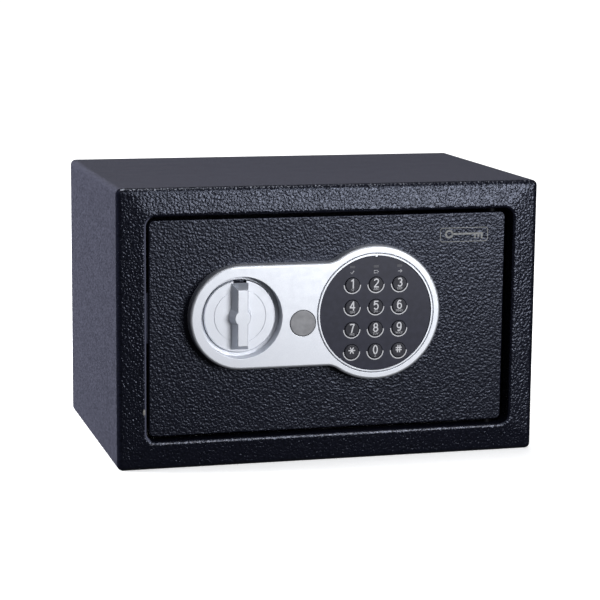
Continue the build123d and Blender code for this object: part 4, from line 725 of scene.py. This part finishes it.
def make_key_legends():
    """Figures and letters on the keys, and the U-shaped line round each key."""
    ink = legend_ink("legend_ink", (0.72, 0.72, 0.75))
    faint = legend_ink("letter_ink", (0.42, 0.42, 0.44))
    panel_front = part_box("keypad_panel")[0].y
    for node, (figure, letters) in KEY_LEGENDS.items():
        low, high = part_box(node)
        x = (low.x + high.x) / 2
        z = (low.z + high.z) / 2
        name = node[4:]
        weight = MARK_WEIGHT if figure in "*#" else FIGURE_WEIGHT
        rise = z + FIGURE_RISE
        drawn("figure_" + name, figure, FIGURE_HEIGHT, weight, x, rise, low.y, ink, node)
        if letters:
            text_piece("letters_" + name, letters, x, z - LETTER_DROP, low.y, faint, node)
        bm = bmesh.new()
        lower_half = oval(x, z, ARC_RADIUS, ARC_RADIUS, 180, 360, 40)
        strip(bm, lower_half, ARC_WIDTH, panel_front, ARC_HEIGHT)
        mesh_piece("arc_" + name, bm, ink, "door")


def make_panel_icons():
    """A small mark under each status light: accepted, battery, locked out."""
    ink = legend_ink("icon_ink", (0.55, 0.55, 0.58))
    low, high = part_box("status_lights")
    panel_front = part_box("keypad_panel")[0].y
    inset = (high.z - low.z) * 0.8
    places = (low.x + inset, (low.x + high.x) / 2, high.x - inset)
    z = low.z - ICON_DROP
    for shape, x in zip(("tick", "cell", "arrow"), places):
        name = "icon_" + shape
        drawn(name, shape, ICON_SIZE, ICON_WEIGHT, x, z, panel_front, ink, "door")


WELL_FLOOR_RADIUS = 0.0277  # between the knob's disc, 26 mm, and the well's wall, 29.2 mm
WELL_FLOOR_WIDTH = 0.0028
WELL_FLOOR_THICKNESS = 0.0003
WELL_FLOOR_GAP = 0.00005


def make_well_floor():
    """Silver floor of the bezel's knob well, seen through the gap round the knob's disc."""
    low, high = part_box("knob")
    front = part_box("door_plate")[0].y - WELL_FLOOR_GAP
    x = (low.x + high.x) / 2
    z = low.z + (high.x - low.x) / 2
    circle = oval(x, z, WELL_FLOOR_RADIUS, WELL_FLOOR_RADIUS, count=96)[:-1]
    bm = bmesh.new()
    strip(bm, circle, WELL_FLOOR_WIDTH, front, WELL_FLOOR_THICKNESS, True)
    mesh_piece("knob_well_floor", bm, NODES["bezel"].data.materials[0], "door")


BADGE_LEFT, BADGE_RIGHT, BADGE_BOTTOM, BADGE_TOP = 0.0824, 0.1185, 0.1560, 0.1660
BADGE_CORNER = 0.0018
BADGE_LINE = 0.0005
BADGE_KEY_LENGTH = 0.029
BADGE_KEY_WEIGHT = 0.048
BADGE_KEY_X, BADGE_KEY_Z = 0.1004, 0.1616


def make_badge():
    """Printed badge at the door's upper right: a rounded frame line round a picture of a key."""
    ink = badge_ink()
    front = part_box("door_plate")[0].y
    r = BADGE_CORNER
    corners = (
        (BADGE_RIGHT - r, BADGE_TOP - r, 90),
        (BADGE_RIGHT - r, BADGE_BOTTOM + r, 0),
        (BADGE_LEFT + r, BADGE_BOTTOM + r, -90),
        (BADGE_LEFT + r, BADGE_TOP - r, -180),
    )
    points = []
    for x, z, start in corners:
        points += oval(x, z, r, r, start, start - 90, 6)
    bm = bmesh.new()
    strip(bm, points, BADGE_LINE, front, PRINT, True)
    mesh_piece("badge_frame", bm, ink, "door")
    size, weight = BADGE_KEY_LENGTH, BADGE_KEY_WEIGHT
    drawn("badge_key", "key", size, weight, BADGE_KEY_X, BADGE_KEY_Z, front, ink, "door")


FELT_VOXEL = 0.0014
FELT_LUMPS = ((0.00035, 55), (0.00018, 420))  # height in metres and fineness of each layer
FELT_SINK = 0.0005  # how far the lumpy top lies below the CAD mat's
FELT_STILL_SHARE = 0.3  # the lower part of the thickness that stays flat


def make_felt_mat():
    """The floor mat as felt: soft edges and a lumpy top."""
    low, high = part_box("floor_mat")
    source = bpy.data.objects.new("felt_source", NODES["floor_mat"].data.copy())
    remesh = source.modifiers.new("remesh", "REMESH")
    remesh.mode = "VOXEL"
    remesh.voxel_size = FELT_VOXEL
    mesh = baked(source)
    for vertex in mesh.vertices:
        share = (vertex.co.z - low.z) / (high.z - low.z)
        if share < FELT_STILL_SHARE:
            continue
        lumps = sum(height * noise.noise(vertex.co * fineness) for height, fineness in FELT_LUMPS)
        vertex.co.z = min(high.z, vertex.co.z + share * (lumps - FELT_SINK))
    for polygon in mesh.polygons:
        polygon.use_smooth = True
    mat = link_piece("felt_floor_mat", mesh, felt(), "cabinet")
    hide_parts("floor_mat")


FLOOR_REACH = 60.0


def make_floor():
    """White floor far out to the horizon; it sends no light back up at the dark front."""
    floor = bpy.data.meshes.new("floor")
    r = FLOOR_REACH
    floor.from_pydata([(-r, -r, 0), (r, -r, 0), (r, r, 0), (-r, r, 0)], [], [(0, 1, 2, 3)])
    floor.materials.append(pale_floor())
    ground = bpy.data.objects.new("floor", floor)
    bpy.context.scene.collection.objects.link(ground)
    ground.visible_diffuse = False
    ground.visible_glossy = False


def main():
    make_camera()
    make_lights()
    make_world()
    dress_cad_nodes()
    make_key_legends()
    make_panel_icons()
    make_well_floor()
    make_badge()
    make_felt_mat()
    make_floor()


main()
